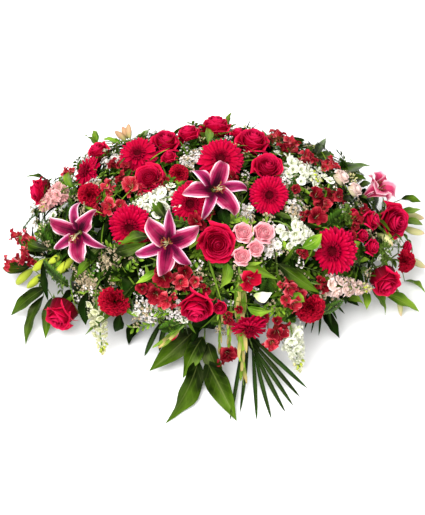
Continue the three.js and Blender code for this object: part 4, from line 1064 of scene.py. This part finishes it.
def filler(plant, rng, centres, spread, depth, look, root_shift):
    """Tufts that share a stem: statice, fern or plumes."""
    tops = [on_mound(across, up, -4, 20) for across, up in centres]
    places = [(top - outward_at(top) * depth, outward_at(top)) for top in tops]
    if len(places) == 1:
        base = places[0][0]
        stem(plant, stem_path(base, outward_at(base), root_shift), TUFT_STEM)
    else:
        for path in forked(plant, places, FORK_BELOW_TUFTS, TUFT_STEM, root_shift):
            stem(plant, path, STALK_RADIUS)
    for base, direction in places:
        if look == "fern":
            fern_tuft(plant, rng, base, direction, spread, depth)
        elif look == "white_small":
            statice(plant, rng, base, direction, spread, depth)
        else:
            plume(plant, rng, base, direction, spread, depth, look)


def nearest_on(path, p):
    """The point of a path of straight runs that is nearest to p."""
    best = path[0]
    for a, b in zip(path, path[1:]):
        t = np.clip((p - a) @ (b - a) / max(1e-9, (b - a) @ (b - a)), 0, 1)
        near = a + (b - a) * t
        if np.linalg.norm(near - p) < np.linalg.norm(best - p):
            best = near
    return best


def green_point(point, sink):
    """A point of a leafy stem: (across, up, height), or (across, up) to lie `sink` below the mound."""
    if len(point) == 2:
        return on_mound(*point, -sink, 14)
    across, up, height = point
    return vec(across, (up - height * UP[2]) / UP[1], height)


def greens(
    plant, rng, look, stalk, leaves=(), straps=(), buds=(), bud_look="yellow_green", sink=30, root_shift=0
):
    """A leafy stem. Its leaves, narrow straps and buds each have a foot, a tip and a width."""
    path = [green_point(point, sink) for point in stalk]
    arriving = unit(path[1] - path[0])
    stem(plant, np.vstack([stem_path(path[0], arriving, root_shift), path[1:]]), LEAFY_STEM)
    for k, (foot, tip, width) in enumerate([*leaves, *straps]):
        start, end = green_point(foot, sink), green_point(tip, 4)
        upper = outward_at((start + end) / 2) + vec(0, 0, 0.6)
        root = nearest_on(path, start)
        plant.add(tube(bezier(5, root, start + (root - start) * 0.4 + vec(0, 0, 2), start), 1.1, 5), "stem")
        if k < len(leaves):
            plant.add(*leaf_sheet(start, end, width * 1.25, upper, width * 0.3, rng, look))
        else:
            plant.add(*leaf_sheet(start, end, width * 0.85, upper, 6, rng, "palm", "strap"))
    for foot, tip, width in buds:
        start, end = green_point(foot, sink), green_point(tip, 4)
        root = nearest_on(path, start)
        plant.add(tube(bezier(5, root, (root + start) / 2, start + (end - start) * 0.1), 1.2, 5), "stem", 0.6)
        plant.add(*closed_bud(start + (end - start) * 0.04, end, width * 1.15, rng, bud_look))


# The planting plan


def head(across, up, size, face=None, lift=0, spin=0, **form):
    """A head on the slope. face is how far it looks to the right and upward, if not straight out."""
    return {"across": across, "up": up, "size": size, "face": face, "lift": lift, "spin": spin, "form": form}


def back_head(across, y, size, lift):
    """A head on the far side, placed over the floor."""
    return {"across": across, "y": y, "size": size, "face": None, "lift": lift, "spin": 0, "form": {}}


LILIES = {
    "lily_centre": [head(-101, 45, 164, (0, -8), 46, 18)],
    "lily_upper": [head(2, 167, 160, (6, 8), 44, 75)],
    "lily_left": [head(-310, 68, 146, (-14, -4), 26, 40)],
}
CLOSED = {"petals": 17, "opened": 0.25}
ROSES = {
    "roses_crown": [
        head(7, 322, 80, (0, 72)), head(-58, 304, 60, (-16, 66)), head(-113, 284, 72, (4, 50)),
        head(-148, 195, 74, (-8, 12), 10),
    ],
    "roses_upper": [head(94, 284, 84, (8, 52)), head(128, 220, 78, (8, 30), 14)],
    "roses_centre": [head(9, 42, 92, (6, -5), 14), head(-38, -103, 88, (-3, -52), 18)],
    "rose_front_left": [head(-357, -122, 88, (-25, -50), **CLOSED)],
    "roses_right": [head(404, -45, 82, (20, -46), **CLOSED), head(428, 96, 86, (38, -4))],
    "roses_left": [head(-411, 169, 72, (-70, -14), **CLOSED), head(-273, 262, 60, (-30, 55), **CLOSED)],
    "roses_back": [back_head(-50, 302, 80, -26), back_head(118, 300, 76, -26), back_head(-178, 288, 74, -26)],
}
GERBERAS = {
    "gerbera_top": [head(18, 238, 116, (0, 22), -4)],
    "gerberas_upper_left": [head(-176, 252, 98, (-8, 28), 2), head(-296, 212, 88, (-52, 34))],
    "gerbera_upper_right": [head(129, 155, 98, (8, -2), 14)],
    "gerbera_middle_left": [head(-190, 82, 112, (-12, -18), 4)],
    "gerbera_right": [head(282, 26, 120, (-28, -6), 6)],
    "gerbera_middle": [head(-52, 136, 100, (-4, -6), -2)],
    "gerbera_front": [head(84, -150, 92, (6, -58), 4)],
}
HALF_OPEN_LILY = {"lily_right": [head(374, 165, 94, (45, 40), 0, 10)]}
CARNATIONS = {
    "carnation_left": [head(-290, 158, 58, (-12, 8))],
    "carnation_lower_left": [head(-230, -94, 74, (-10, -32))],
    "carnation_lower_right": [head(226, -110, 72, (14, -36))],
    "carnation_upper": [head(-80, 207, 46, (-4, 14), 4)],
    "carnation_far_right": [head(458, 2, 56, (52, -10))],
}
SPRAY_ROSES = {
    "spray_roses_red": ("rose", [head(372, 98, 50, None, 10), head(350, 62, 34), head(372, 36, 44, None, 4)]),
    "spray_roses_pink": (
        "pink",
        [
            head(70, 68, 46, None, 12), head(117, 68, 49, None, 12), head(98, 32, 36, None, 12),
            head(66, 14, 42, None, 10),
        ],
    ),
    "spray_roses_blush": ("blush", [head(303, 199, 44), head(335, 170, 40)]),
}
ALSTROEMERIAS = {
    "alstroemeria_left": [head(-192, 172, 44), head(-228, 130, 44), head(-238, 170, 34)],
    "alstroemeria_centre": [
        head(-118, -32, 42, None, 14, look="dark_coral"), head(-78, -44, 36, None, 8),
        head(-134, -72, 42, None, 6, look="dark_coral"), head(-100, -86, 40, None, 8),
    ],
    "alstroemeria_lower_right": [
        head(168, -52, 40, None, 8), head(176, -94, 40, None, 8), head(150, -148, 50, look="dark_coral"),
        head(134, -184, 36),
    ],
    "alstroemeria_far_left": [head(-470, 0, 46), head(-432, 52, 38), head(-428, 4, 36), head(-464, 62, 32)],
    "alstroemeria_right": [
        head(240, 148, 44, None, 4), head(278, 150, 44, None, 4), head(240, 102, 42), head(270, 226, 42),
        head(216, 240, 40), head(184, 272, 42), head(150, 292, 38),
    ],
}
STOCKS = {
    "stock_upper_left": ("white", (-106, 150), (-210, 114)),
    "stock_upper_right": ("white", (166, 228), (252, 192)),
    "stock_right": ("white", (172, 84), (246, 38)),
    "stock_lower_right": ("white", (180, -150), (202, -252)),
    "stock_lower_left": ("green_white", (-272, -84), (-258, -212)),
    "stock_pink_right": ("blush", (260, -54), (368, -62)),
    "stock_pink_left": ("dusty_pink", (-350, 172), (-406, 124)),
}
# Foot, tip, how far the spike stands proud, its buds (count, longest, shortest) and its open florets.
GLADIOLI = {
    "gladiolus_centre": ("gladiolus", [((60, -6), (71, -292), 18, (9, 74, 42), [(0.06, 70, "gladiolus")])]),
    "gladiolus_buds": (
        "gladiolus_bud",
        [
            ((18, -86), (14, -215), 0, (4, 34, 26), [(0.86, 58, "dark_coral")]),
            ((42, -88), (36, -228), 0, (6, 40, 24), []),
            ((-70, -150), (-110, -182), 0, (3, 44, 38), [(0.3, 34, "gladiolus")]),
        ],
    ),
}
# Look, places, spread and depth.
FILLERS = {
    "statice_top": ("white_small", [(-58, 246), (-34, 262)], 22, 26),
    "statice_upper_right": ("white_small", [(200, 126), (172, 198)], 24, 26),
    "statice_left": ("white_small", [(-292, 184), (-240, 246)], 24, 26),
    "caspia_left": ("caspia", [(-244, 4), (-296, -52)], 38, 36),
    "statice_centre": ("white_small", [(66, 116), (142, 34)], 22, 26),
    "statice_lower_left": ("white_small", [(-155, -120), (-84, -122)], 30, 30),
    "solidago_right": ("solidago", [(322, 112), (408, 22)], 30, 28),
    "fern_left": ("fern", [(-384, 54)], 40, 30),
}
# Leafy stems: the stalk's points, then leaves, straps and buds, each with a foot, a tip and a width.
GREENS = {
    "greens_left": {
        "look": "leaf",
        "stalk": [(-280, -10), (-350, -14), (-410, -30)],
        "buds": [
            ((-423, -14), (-470, -54), 18), ((-388, 9), (-425, -20), 17), ((-400, -26), (-441, -62), 16),
            ((-320, 14), (-376, -36), 18), ((-352, 22), (-386, -4), 15),
        ],
        "leaves": [
            ((-392, -60), (-480, -128), 26), ((-400, -80, 60), (-442, -198, 6), 26),
            ((-380, -84, 56), (-396, -182, 6), 22), ((-430, -10), (-504, -14, 40), 24),
            ((-395, 14), (-466, 64), 22),
        ],
    },
    "greens_right": {
        "look": "leaf_light",
        "bud_look": "pale_bud",
        "sink": 46,
        "stalk": [(330, -20), (392, -10), (440, 20)],
        "buds": [
            ((444, 128), (507, 104, 80), 16), ((452, 84), (507, 68, 70), 15), ((385, 68), (424, 38), 18),
            ((462, 12), (507, -14, 46), 14), ((436, -60), (446, -130, 12), 12),
        ],
        "leaves": [
            ((448, 70), (476, 20), 18), ((458, -46), (507, -76, 16), 24), ((408, -76), (492, -120, 10), 26),
            ((376, -68), (408, -128), 22), ((350, -66), (360, -112), 18), ((316, -84), (352, -98), 18),
        ],
    },
    "greens_upper_left": {
        "look": "leaf_light",
        "bud_look": "blush_bud",
        "stalk": [(-176, 262), (-200, 292)],
        "buds": [
            ((-210, 292), (-237, 316), 13), ((-206, 296), (-219, 327), 13), ((-200, 296), (-204, 334), 13),
        ],
        "leaves": [
            ((-280, 290), (-290, 318), 16), ((-284, 282), (-312, 306), 18), ((-222, 282), (-270, 296), 16),
            ((-168, 286), (-150, 320), 20),
        ],
    },
    "greens_upper_right": {
        "look": "leaf",
        "stalk": [(200, 210), (236, 236)],
        "leaves": [
            ((242, 248), (274, 300), 18), ((228, 246), (226, 278), 14), ((240, 240), (292, 256), 18),
            ((290, 206), (386, 230), 26), ((196, 262), (206, 296), 18), ((318, 196), (366, 196), 20),
        ],
    },
    "greens_middle_left": {
        "look": "leaf_deep",
        "stalk": [(-150, -8), (-200, -20)],
        "leaves": [
            ((-164, -16), (-254, -34), 40), ((-164, -24), (-212, -86), 42), ((-150, -20), (-160, -84), 36),
            ((-186, 0), (-262, 36), 34), ((-130, 0), (-110, -20), 30),
        ],
    },
    "greens_front": {
        "look": "leaf",
        "stalk": [(-18, -140, 66), (-22, -226, 34)],
        "leaves": [
            ((-34, -152, 62), (-150, -256, 18), 42), ((-24, -176, 52), (-71, -272, 22), 36),
            ((-34, -232, 34), (-112, -376, 4), 46), ((-14, -232, 34), (55, -369, 4), 44),
            ((-12, -190, 48), (34, -290, 14), 36),
        ],
        "straps": [
            ((-120, -138, 66), (-161, -222, 26), 15), ((-104, -130, 70), (-126, -210, 30), 15),
        ],
    },
    "greens_back_left": {
        "look": "leaf_deep",
        "stalk": [(-86, 150, 62), (-126, 216, 40)],
        "leaves": [
            ((-126, 218, 40), (-150, 318, 8), 46), ((-120, 206, 44), (-244, 276, 12), 46),
            ((-118, 204, 44), (-56, 312, 10), 44), ((-106, 184, 52), (-262, 208, 34), 44),
            ((-100, 172, 56), (6, 262, 26), 40),
        ],
    },
    "greens_back_right": {
        "look": "leaf_deep",
        "stalk": [(92, 150, 62), (140, 212, 40)],
        "leaves": [
            ((140, 214, 40), (162, 318, 8), 46), ((134, 202, 44), (262, 264, 12), 46),
            ((130, 198, 46), (72, 308, 10), 44), ((120, 184, 50), (288, 206, 34), 44),
            ((106, 168, 56), (44, 252, 30), 36),
        ],
    },
    "palm_front": {
        "look": "palm",
        "stalk": [(64, -120, 88), (98, -214, 44)],
        "straps": [
            ((76, -154, 71), (38, -371, 6), 12), ((82, -170, 64), (62, -352, 10), 12),
            ((92, -196, 52), (101, -369, 6), 12), ((96, -208, 47), (136, -366, 6), 12),
            ((95, -204, 49), (169, -350, 8), 13), ((90, -192, 54), (188, -336, 10), 13),
            ((86, -180, 60), (204, -316, 12), 13), ((81, -167, 66), (222, -296, 14), 13),
        ],
    },
    "palm_right": {
        "look": "palm",
        "stalk": [(220, -30, 118), (252, -76, 92)],
        "straps": [
            ((248, -70, 95), (278, -148, 56), 10), ((244, -64, 98), (292, -136, 60), 10),
            ((239, -57, 102), (310, -122, 64), 10), ((250, -74, 93), (248, -174, 40), 10),
            ((242, -61, 100), (230, -168, 44), 10), ((236, -53, 105), (214, -160, 48), 10),
        ],
    },
}
ROOT_SHIFTS = {"greens_upper_left": 30, "greens_upper_right": -6, "solidago_right": 12}

SLOTS = {
    "rose": "petal_red",
    "pink": "petal_pink",
    "blush": "petal_blush",
    "dusty_pink": "petal_blush",
    "white": "petal_white",
    "white_small": "petal_white",
    "green_white": "petal_white",
    "gladiolus": "petal_crimson",
    "gladiolus_bud": "petal_blush",
    "caspia": "floret_cream",
    "solidago": "leaf_lime",
    "fern": "leaf_lime",
    "leaf_light": "leaf_lime",
    "leaf": "leaf_green",
    "palm": "leaf_green",
    "leaf_deep": "leaf_deep",
}

seeds = iter(range(100, 400))
FLOOR_CLEARANCE = 0.8


def grown(name, slot, nodes, grow, details, more):
    """Grows one plant from the next seed, keeps it above the floor and shows it."""
    plant = Plant()
    grow(plant, np.random.default_rng(next(seeds)), *details, **more)
    for grid, _, _ in plant.sheets:
        np.maximum(grid[..., 2], FLOOR_CLEARANCE, out=grid[..., 2])
    plant.build(name, slot, nodes)


def planted(name, slot, grow, *details, **more):
    """A plant in the place of the node of that name."""
    grown(name + "_fine", slot, [name], grow, details, more)


def growth(name, slot, grow, *details, **more):
    """Growth over the mound that takes no node's place."""
    grown(name, slot, [], grow, details, more)


for table, slot, make, depth in (
    (LILIES, "petal_magenta", lily, LILY_THROAT),
    (ROSES, "petal_red", rose, ROSE_DEPTH),
    (GERBERAS, "petal_crimson", gerbera, GERBERA_DEPTH),
    (HALF_OPEN_LILY, "petal_magenta", large_trumpet, TRUMPET_DEPTH),
    (CARNATIONS, "petal_red", carnation, CARNATION_DEPTH),
):
    for name, heads in table.items():
        planted(name, slot, bloom, heads, make, depth)
for name, (look, heads) in SPRAY_ROSES.items():
    planted(name, SLOTS[look], cluster, heads, spray_rose(look), ROSE_DEPTH)
for name, heads in ALSTROEMERIAS.items():
    planted(name, "petal_scarlet", cluster, heads, alstroemeria, TRUMPET_DEPTH)
for name, (look, spikes) in GLADIOLI.items():
    planted(name, SLOTS[look], gladiolus, spikes)
for name, (look, start, end) in STOCKS.items():
    planted(name, SLOTS[look], stock, start, end, look)
for name, row in GREENS.items():
    planted(name, SLOTS[row["look"]], greens, root_shift=ROOT_SHIFTS.get(name, 0), **row)
for name, (look, places, spread, depth) in FILLERS.items():
    planted(name, SLOTS[look], filler, places, spread, depth, look, ROOT_SHIFTS.get(name, 0))


# Growth between the flowers, which closes the gaps between them on every side

RIM = 0.93
EVERYWHERE = (-1.1, 1.1)
LEFT_HALF = (-1.1, 0)
RIGHT_HALF = (0, 1.1)
FRONT_THINNED = 0.84
SHORT_STALK = 40


def clear_of_heads(p, share):
    return all(np.linalg.norm(p - middle) > radius * share for middle, radius in HEADS)


def scattered(rng, count, part=EVERYWHERE):
    """Even but unruly places over a part of the mound, from one share of its length to another."""
    for k in range(count):
        share = RIM * sqrt((k + rng.uniform()) / count)
        turn = k * GOLDEN_ANGLE + rng.uniform(-0.1, 0.1)
        if part[0] <= share * cos(turn) < part[1]:
            yield MOUND[0] * share * cos(turn), MOUND[1] * share * sin(turn)


def sprawl(plant, rng, looks, count, sink, length, width, rise=(0.1, 0.5), part=EVERYWHERE):
    """Leaves that lie or stand below the mound's surface, in every direction."""
    for x, y in scattered(rng, count, part):
        top = over_mound(x, y, -sink * rng.uniform(0.7, 1.3))
        out = outward_at(top)
        side = around(out, rng.uniform(0, 2 * pi))
        long = length * rng.uniform(0.8, 1.15)
        tip = top + tilted(side, out, rng.uniform(*rise)) * long * 0.6
        foot = top - side * long * 0.4 - out * rng.uniform(4, 12)
        look = looks[rng.integers(len(looks))]
        if sink < 30 and not clear_of_heads(tip, 0.85):
            continue
        if look == "fern":
            plant.sheets.extend(fern_frond(foot, tip, width * 1.5, out, rng, 11))
        else:
            plant.add(*leaf_sheet(foot, tip, width * rng.uniform(0.8, 1.2), out, 5, rng, look, "coarse"))


def sprigs(plant, rng, looks, count, size):
    """Small sprigs of florets or buds that fill the gaps between the heads."""
    for x, y in scattered(rng, count):
        top = over_mound(x, y, rng.uniform(-16, 3))
        if not clear_of_heads(top, 1.02):
            continue
        out = outward_at(top)
        root = top - out * 34
        look = looks[rng.integers(len(looks))]
        for k in range(rng.integers(9, 18)):
            side = around(out, k * GOLDEN_ANGLE)
            at = top + side * rng.uniform(2, 15) + out * rng.uniform(-10, 3)
            heading = unit(out + side * 0.4 + rng.normal(0, 0.3, 3))
            plant.add(tube(bezier(3, root, root + out * 20, at), 0.5, 3), "stem", rng.uniform(0.2, 0.8))
            girth = size * rng.uniform(0.7, 1.2)
            if look == "pale_bud":
                plant.add(*closed_bud(at - heading, at + heading * girth * 2.4, girth * 1.2, rng, look))
            else:
                plant.add(*cup_floret(at, heading, girth, girth, rng, look))


def leafy_sprigs(plant, rng, looks, count, length, width):
    """Thin arching stems that lie over the other leaves, with small leaves in pairs."""
    for x, y in scattered(rng, count):
        top = over_mound(x, y, rng.uniform(-14, -2))
        out = outward_at(top)
        side = around(out, rng.uniform(0, 2 * pi))
        across = np.cross(out, side)
        run = side * length * rng.uniform(0.7, 1.2)
        line = bezier(7, top - out * 30 - run * 0.4, top + out * 6 - run * 0.1, top + run * 0.6)
        if not clear_of_heads(line[-1], 0.95) or not clear_of_heads(line[4], 0.95):
            continue
        look = looks[rng.integers(len(looks))]
        plant.add(tube(line, np.linspace(0.8, 0.4, 7), 4), "stem", 0.6)
        for at in line[2:]:
            for sign in (-1, 1):
                small = width * rng.uniform(0.8, 1.3)
                tip = at + unit(side * 0.9 + across * sign * 0.8 + out * rng.uniform(0, 0.5)) * small * 2.6
                plant.add(*leaf_sheet(at, tip, small, out, 1, rng, look, "tiny"))


def single_blooms(plant, rng, rows, make, depth):
    """Blooms that each stand by themselves in a gap."""
    for across, up, size in rows:
        base, direction, matrix = head_place(depth, head(across, up, size, None, rng.uniform(-6, 2)))
        root = base - direction * 46
        stem(plant, bezier(5, root, root + direction * 22, base + direction * INTO_HEAD), STALK_RADIUS)
        plant.stand(make(size, rng), matrix)


def single_rosettes(plant, rng, rows):
    """Double florets scattered over the mound, each on a short stalk."""
    for across, up, size in rows:
        at = on_mound(across, up, -6, 20)
        out = outward_at(at)
        plant.add(tube(bezier(4, at - out * SHORT_STALK, at - out * 20, at), 1.0, 4), "stem")
        plant.sheets.extend(rosette(at, unit(out + rng.normal(0, 0.25, 3)), size, rng, "white"))


def single_leaves(plant, rng, rows):
    """Leaves laid one by one in the gaps, each on a short stalk."""
    for foot, tip, width, look in rows:
        start, end = on_mound(*foot, 6, 16), on_mound(*tip, 12, 16)
        out = outward_at(start)
        plant.add(*leaf_sheet(start, end, width, out, 6, rng, look))
        plant.add(tube(bezier(5, start - out * SHORT_STALK, start - out * 16, start), 1.1, 5), "stem")


def skirt(plant, rng, looks, count, length, width):
    """Leaves that hang over the rim on every side, and hide the tray."""
    for k in range(count):
        turn = 2 * pi * (k + rng.uniform()) / count
        x, y = cos(turn), sin(turn)
        front = y < 0.15
        if front and rng.uniform() < FRONT_THINNED:
            continue
        steepest, longest = (-0.9, 0.9) if front else (-0.6, 1.1)
        inside = rng.uniform(0.62, 0.8)
        foot = vec(MOUND[0] * inside * x, MOUND[1] * inside * y, rng.uniform(26, 90))
        away = unit(vec(x + rng.uniform(-0.4, 0.4), y, rng.uniform(steepest, -0.1)))
        tip = foot + away * length * rng.uniform(0.6, longest)
        tip[2] = max(tip[2], 3)
        plant.add(*leaf_sheet(foot, tip, width, vec(0, 0, 1), 9, rng, looks[k % len(looks)]))
        plant.add(tube([foot - away * SHORT_STALK + vec(0, 0, 6), foot], 1.1, 5), "stem", 0.4)


# Blooms and leaves that stand alone: across, up and size, or foot, tip, width and look.
SINGLE_CORAL = [
    (-340, 213, 28), (-206, 193, 34), (-98, -4, 28), (-62, -46, 32), (-36, -44, 28), (168, 262, 30),
    (198, -66, 32), (-170, 166, 26), (262, 128, 28), (-440, 28, 28), (212, 106, 24), (-20, -62, 22),
]
SINGLE_DARK = [
    (-226, 226, 32), (-122, 190, 40), (222, 236, 34), (332, 92, 32), (316, 62, 30), (248, -52, 32),
    (-68, -20, 34), (-164, -60, 28), (112, -126, 26), (-34, 94, 34), (-8, 116, 30), (350, 120, 26),
    (-200, 214, 30), (46, 196, 26), (190, 168, 24), (-260, 120, 26), (204, 18, 22), (34, -128, 26),
    (62, -108, 20),
]
SINGLE_WHITE = [
    (150, 252, 24), (196, 216, 24), (214, 206, 26), (244, 212, 26), (258, 196, 26), (236, 178, 24),
    (156, 74, 26), (164, 62, 24), (188, 50, 26), (214, 60, 24), (232, 34, 22), (150, 40, 20),
    (-160, 140, 24), (-120, 166, 26), (-116, 138, 24), (-372, 108, 22), (-352, 120, 22), (-178, -116, 20),
    (-66, -132, 20), (404, 24, 20), (176, 204, 24), (-90, 152, 30), (-102, 118, 28), (-130, 108, 26),
    (-80, 130, 24), (-98, 174, 24), (-150, 94, 22), (274, 188, 24), (284, 168, 20), (206, 188, 24),
    (176, 40, 22), (202, -236, 20), (166, -196, 22), (86, 122, 18), (-232, 256, 20), (-256, 262, 18),
    (224, 232, 22), (-100, -108, 20), (386, 12, 18), (132, 246, 22),
]
SINGLE_ROSES = [(16, -106, 34), (-104, 246, 40), (330, 112, 30), (462, 36, 32), (-56, 176, 32), (60, 306, 40)]
SINGLE_LEAVES = [
    ((-300, 62), (-282, -26), 36, "leaf_deep"), ((-330, 40), (-262, 2), 30, "leaf_deep"),
    ((-258, 34), (-316, -34), 30, "leaf"), ((34, -4), (14, -62), 30, "leaf_light"),
    ((-34, 66), (-54, 28), 26, "leaf_light"), ((76, -12), (150, -40), 24, "leaf_light"),
    ((-226, 22), (-150, 46), 30, "leaf"), ((-110, 102), (-142, 146), 26, "leaf"),
    ((20, 122), (36, 74), 30, "leaf_deep"), ((150, -4), (248, -72), 30, "leaf"),
    ((206, 34), (252, 66), 30, "leaf_light"), ((-242, 150), (-224, 128), 18, "leaf_light"),
    ((-330, 176), (-348, 214), 22, "leaf_light"), ((-386, 30), (-462, 62), 26, "leaf"),
    ((-392, 8), (-386, -92), 22, "leaf_deep"), ((80, -104), (136, -112), 26, "leaf_light"),
    ((180, -74), (212, -92), 24, "leaf_light"), ((-128, -18), (-178, -50), 18, "leaf_light"),
    ((-396, 192), (-452, 204), 22, "leaf"), ((-10, 278), (-14, 322), 20, "leaf_light"),
    ((38, 330), (46, 362), 14, "leaf_light"), ((-190, -60), (-300, -172), 26, "leaf"),
    ((-214, -122), (-228, -162), 26, "leaf_deep"), ((-290, -70), (-296, -148), 28, "leaf_deep"),
    ((452, 150), (500, 144), 22, "leaf"), ((440, 118), (500, 126), 18, "leaf_light"),
    ((446, 96), (504, 88), 18, "leaf_light"), ((-300, 128), (-256, 112), 6, "leaf_light"),
    ((-150, 60), (-214, 40), 30, "leaf"), ((94, -76), (136, -70), 26, "white"),
    ((82, 306), (128, 340), 3, "leaf_deep"), ((74, 300), (92, 344), 3, "leaf_deep"),
]

# Sprawling leaves: how many, how deep below the mound, how long, how wide and how steep.
# Sprigs: how many and how large. Leafy sprigs and skirt: how many, how long and how wide.
MID_LOOKS = ["leaf", "leaf_deep", "leaf_deep"]
growth("single_coral", "petal_scarlet", single_blooms, SINGLE_CORAL, alstroemeria, TRUMPET_DEPTH)
growth("single_dark", "petal_crimson", single_blooms, SINGLE_DARK, dark_alstroemeria, TRUMPET_DEPTH)
growth("single_roses", "petal_red", single_blooms, SINGLE_ROSES, rose, ROSE_DEPTH)
growth("single_whites", "petal_white", single_rosettes, SINGLE_WHITE)
growth("single_leaves", "leaf_lime", single_leaves, SINGLE_LEAVES)
growth("deep_leaves", "leaf_deep", sprawl, ["leaf_deep"], 330, 64, 80, 40)
growth("mid_leaves_left", "leaf_green", sprawl, MID_LOOKS, 420, 38, 66, 22, part=LEFT_HALF)
growth("mid_leaves_right", "leaf_green", sprawl, MID_LOOKS, 420, 38, 66, 22, part=RIGHT_HALF)
growth("top_leaves", "leaf_green", sprawl, ["leaf", "leaf_deep", "leaf_light"], 330, 22, 62, 15, (0.2, 0.9))
growth("blades", "leaf_lime", sprawl, ["leaf_light", "leaf"], 150, 8, 96, 5, (0.0, 0.3))
growth("fern_fronds", "leaf_green", sprawl, ["fern"], 110, 29, 84, 26, (0.1, 0.7))
growth("small_florets", "petal_white", sprigs, ["white_small", "caspia", "caspia"], 270, 2.8)
growth("small_buds", "leaf_lime", sprigs, ["pale_bud"], 46, 2.6)
growth("leafy_sprigs", "leaf_lime", leafy_sprigs, ["leaf", "fern", "leaf_light"], 230, 66, 6.5)
growth("skirt_leaves", "leaf_green", skirt, ["leaf_deep", "leaf"], 150, 88, 28)


# The tray and the foam

BOX_QUADS = [(0, 1, 3, 2), (4, 6, 7, 5), (0, 4, 5, 1), (2, 3, 7, 6), (0, 2, 6, 4), (1, 5, 7, 3)]


def box_piece(name, slot, look, boxes, rounding):
    """Boxes with rounded edges, each from its lowest to its highest corner, in the place of one node."""
    points, faces = [], []
    for low, high in boxes:
        faces += [tuple(len(points) + c for c in quad) for quad in BOX_QUADS]
        points += [tuple(c * MM for c in corner) for corner in product(*zip(low, high))]
    mesh = mesh_of(name, points, faces, np.full(len(points), 0.5), [look])
    piece = show(name + "_fine", mesh, slot, [name])
    modifier = piece.modifiers.new("rounded", "BEVEL")
    modifier.width = rounding * MM
    modifier.segments = 3


FOAM_SIZE = (364.0, 134.0, 92.0)
TRAY_SIZE = (380.0, 150.0, 34.0)
TRAY_WALL = 2.4
TRAY_ROUNDING, FOAM_ROUNDING = 0.8, 5
WALL_FOOT = 0.4
FOAM_FOOT = 2.7
tray_x, tray_y, tray_z = TRAY_SIZE[0] / 2, TRAY_SIZE[1] / 2, TRAY_SIZE[2]
inner_x, inner_y = tray_x - TRAY_WALL, tray_y - TRAY_WALL
tray_boxes = [((-tray_x, -tray_y, 0), (tray_x, tray_y, TRAY_WALL))]
for left, right, front, back in (
    (-tray_x, tray_x, -tray_y, -inner_y),
    (-tray_x, tray_x, inner_y, tray_y),
    (-tray_x, -inner_x, -tray_y, tray_y),
    (inner_x, tray_x, -tray_y, tray_y),
):
    tray_boxes.append(((left, front, WALL_FOOT), (right, back, tray_z)))
box_piece("saddle_tray", "tray_plastic", "tray", tray_boxes, TRAY_ROUNDING)
foam_x, foam_y, foam_z = FOAM_SIZE[0] / 2, FOAM_SIZE[1] / 2, FOAM_SIZE[2]
foam_box = ((-foam_x, -foam_y, FOAM_FOOT), (foam_x, foam_y, foam_z))
box_piece("foam_block", "wet_foam", "foam", [foam_box], FOAM_ROUNDING)


# Camera, light and floor

PIXELS = (425, 515)
MM_PER_PIXEL = 2.35
ORIGIN_PIXEL = (213, 262)
CAMERA_DISTANCE = 7000.0
MIDDLE_DEPTH = 170.0
SENSOR = 36.0
SKY_STRENGTH = 0.36
PAPER_WHITE = (0.9, 0.9, 0.9, 1)
FLOOR_HALF = 6.0
# Place in millimetres, size in metres and power in watts.
LAMPS = {
    "key_light": ((-700, -1000, 2600), 2.6, 168.0),
    "fill_light": ((1700, -1500, 1600), 1.8, 24.0),
    "back_light": ((300, 2000, 1800), 1.6, 30.0),
}


def camera():
    data = bpy.data.cameras.new("camera")
    data.sensor_fit = "AUTO"
    data.sensor_width = SENSOR
    data.lens = SENSOR * (CAMERA_DISTANCE - MIDDLE_DEPTH) / (PIXELS[1] * MM_PER_PIXEL)
    right = (PIXELS[0] / 2 - ORIGIN_PIXEL[0]) * MM_PER_PIXEL
    above = (ORIGIN_PIXEL[1] - PIXELS[1] / 2) * MM_PER_PIXEL
    place = X * right + UP * above + OUT * CAMERA_DISTANCE
    turn = Matrix((X, UP, OUT)).transposed().to_4x4()
    eye = put("camera", data)
    eye.matrix_world = Matrix.Translation(Vector(place * MM)) @ turn
    bpy.context.scene.camera = eye


def daylight():
    world = bpy.data.worlds.new("world")
    bpy.context.scene.world = world
    world.use_nodes = True
    background = world.node_tree.nodes["Background"]
    background.inputs[0].default_value = (1, 1, 1, 1)
    background.inputs[1].default_value = SKY_STRENGTH
    for name, (at, size, power) in LAMPS.items():
        lamp = bpy.data.lights.new(name, "AREA")
        lamp.shape = "DISK"
        lamp.size = size
        lamp.energy = power
        light = put(name, lamp)
        light.location = Vector(at) * MM
        light.rotation_euler = (-light.location).to_track_quat("-Z", "Y").to_euler()


def floor():
    mesh = bpy.data.meshes.new("floor")
    corners = [(x * FLOOR_HALF, y * FLOOR_HALF, 0) for x, y in ((-1, -1), (1, -1), (1, 1), (-1, 1))]
    mesh.from_pydata(corners, [], [(0, 1, 2, 3)])
    paper = Nodes("floor_paper")
    paper.shader.inputs["Base Color"].default_value = PAPER_WHITE
    paper.shader.inputs["Roughness"].default_value = 0.9
    mesh.materials.append(paper.material)
    put("floor", mesh)


camera()
daylight()
floor()
bpy.context.scene.view_settings.view_transform = "Standard"

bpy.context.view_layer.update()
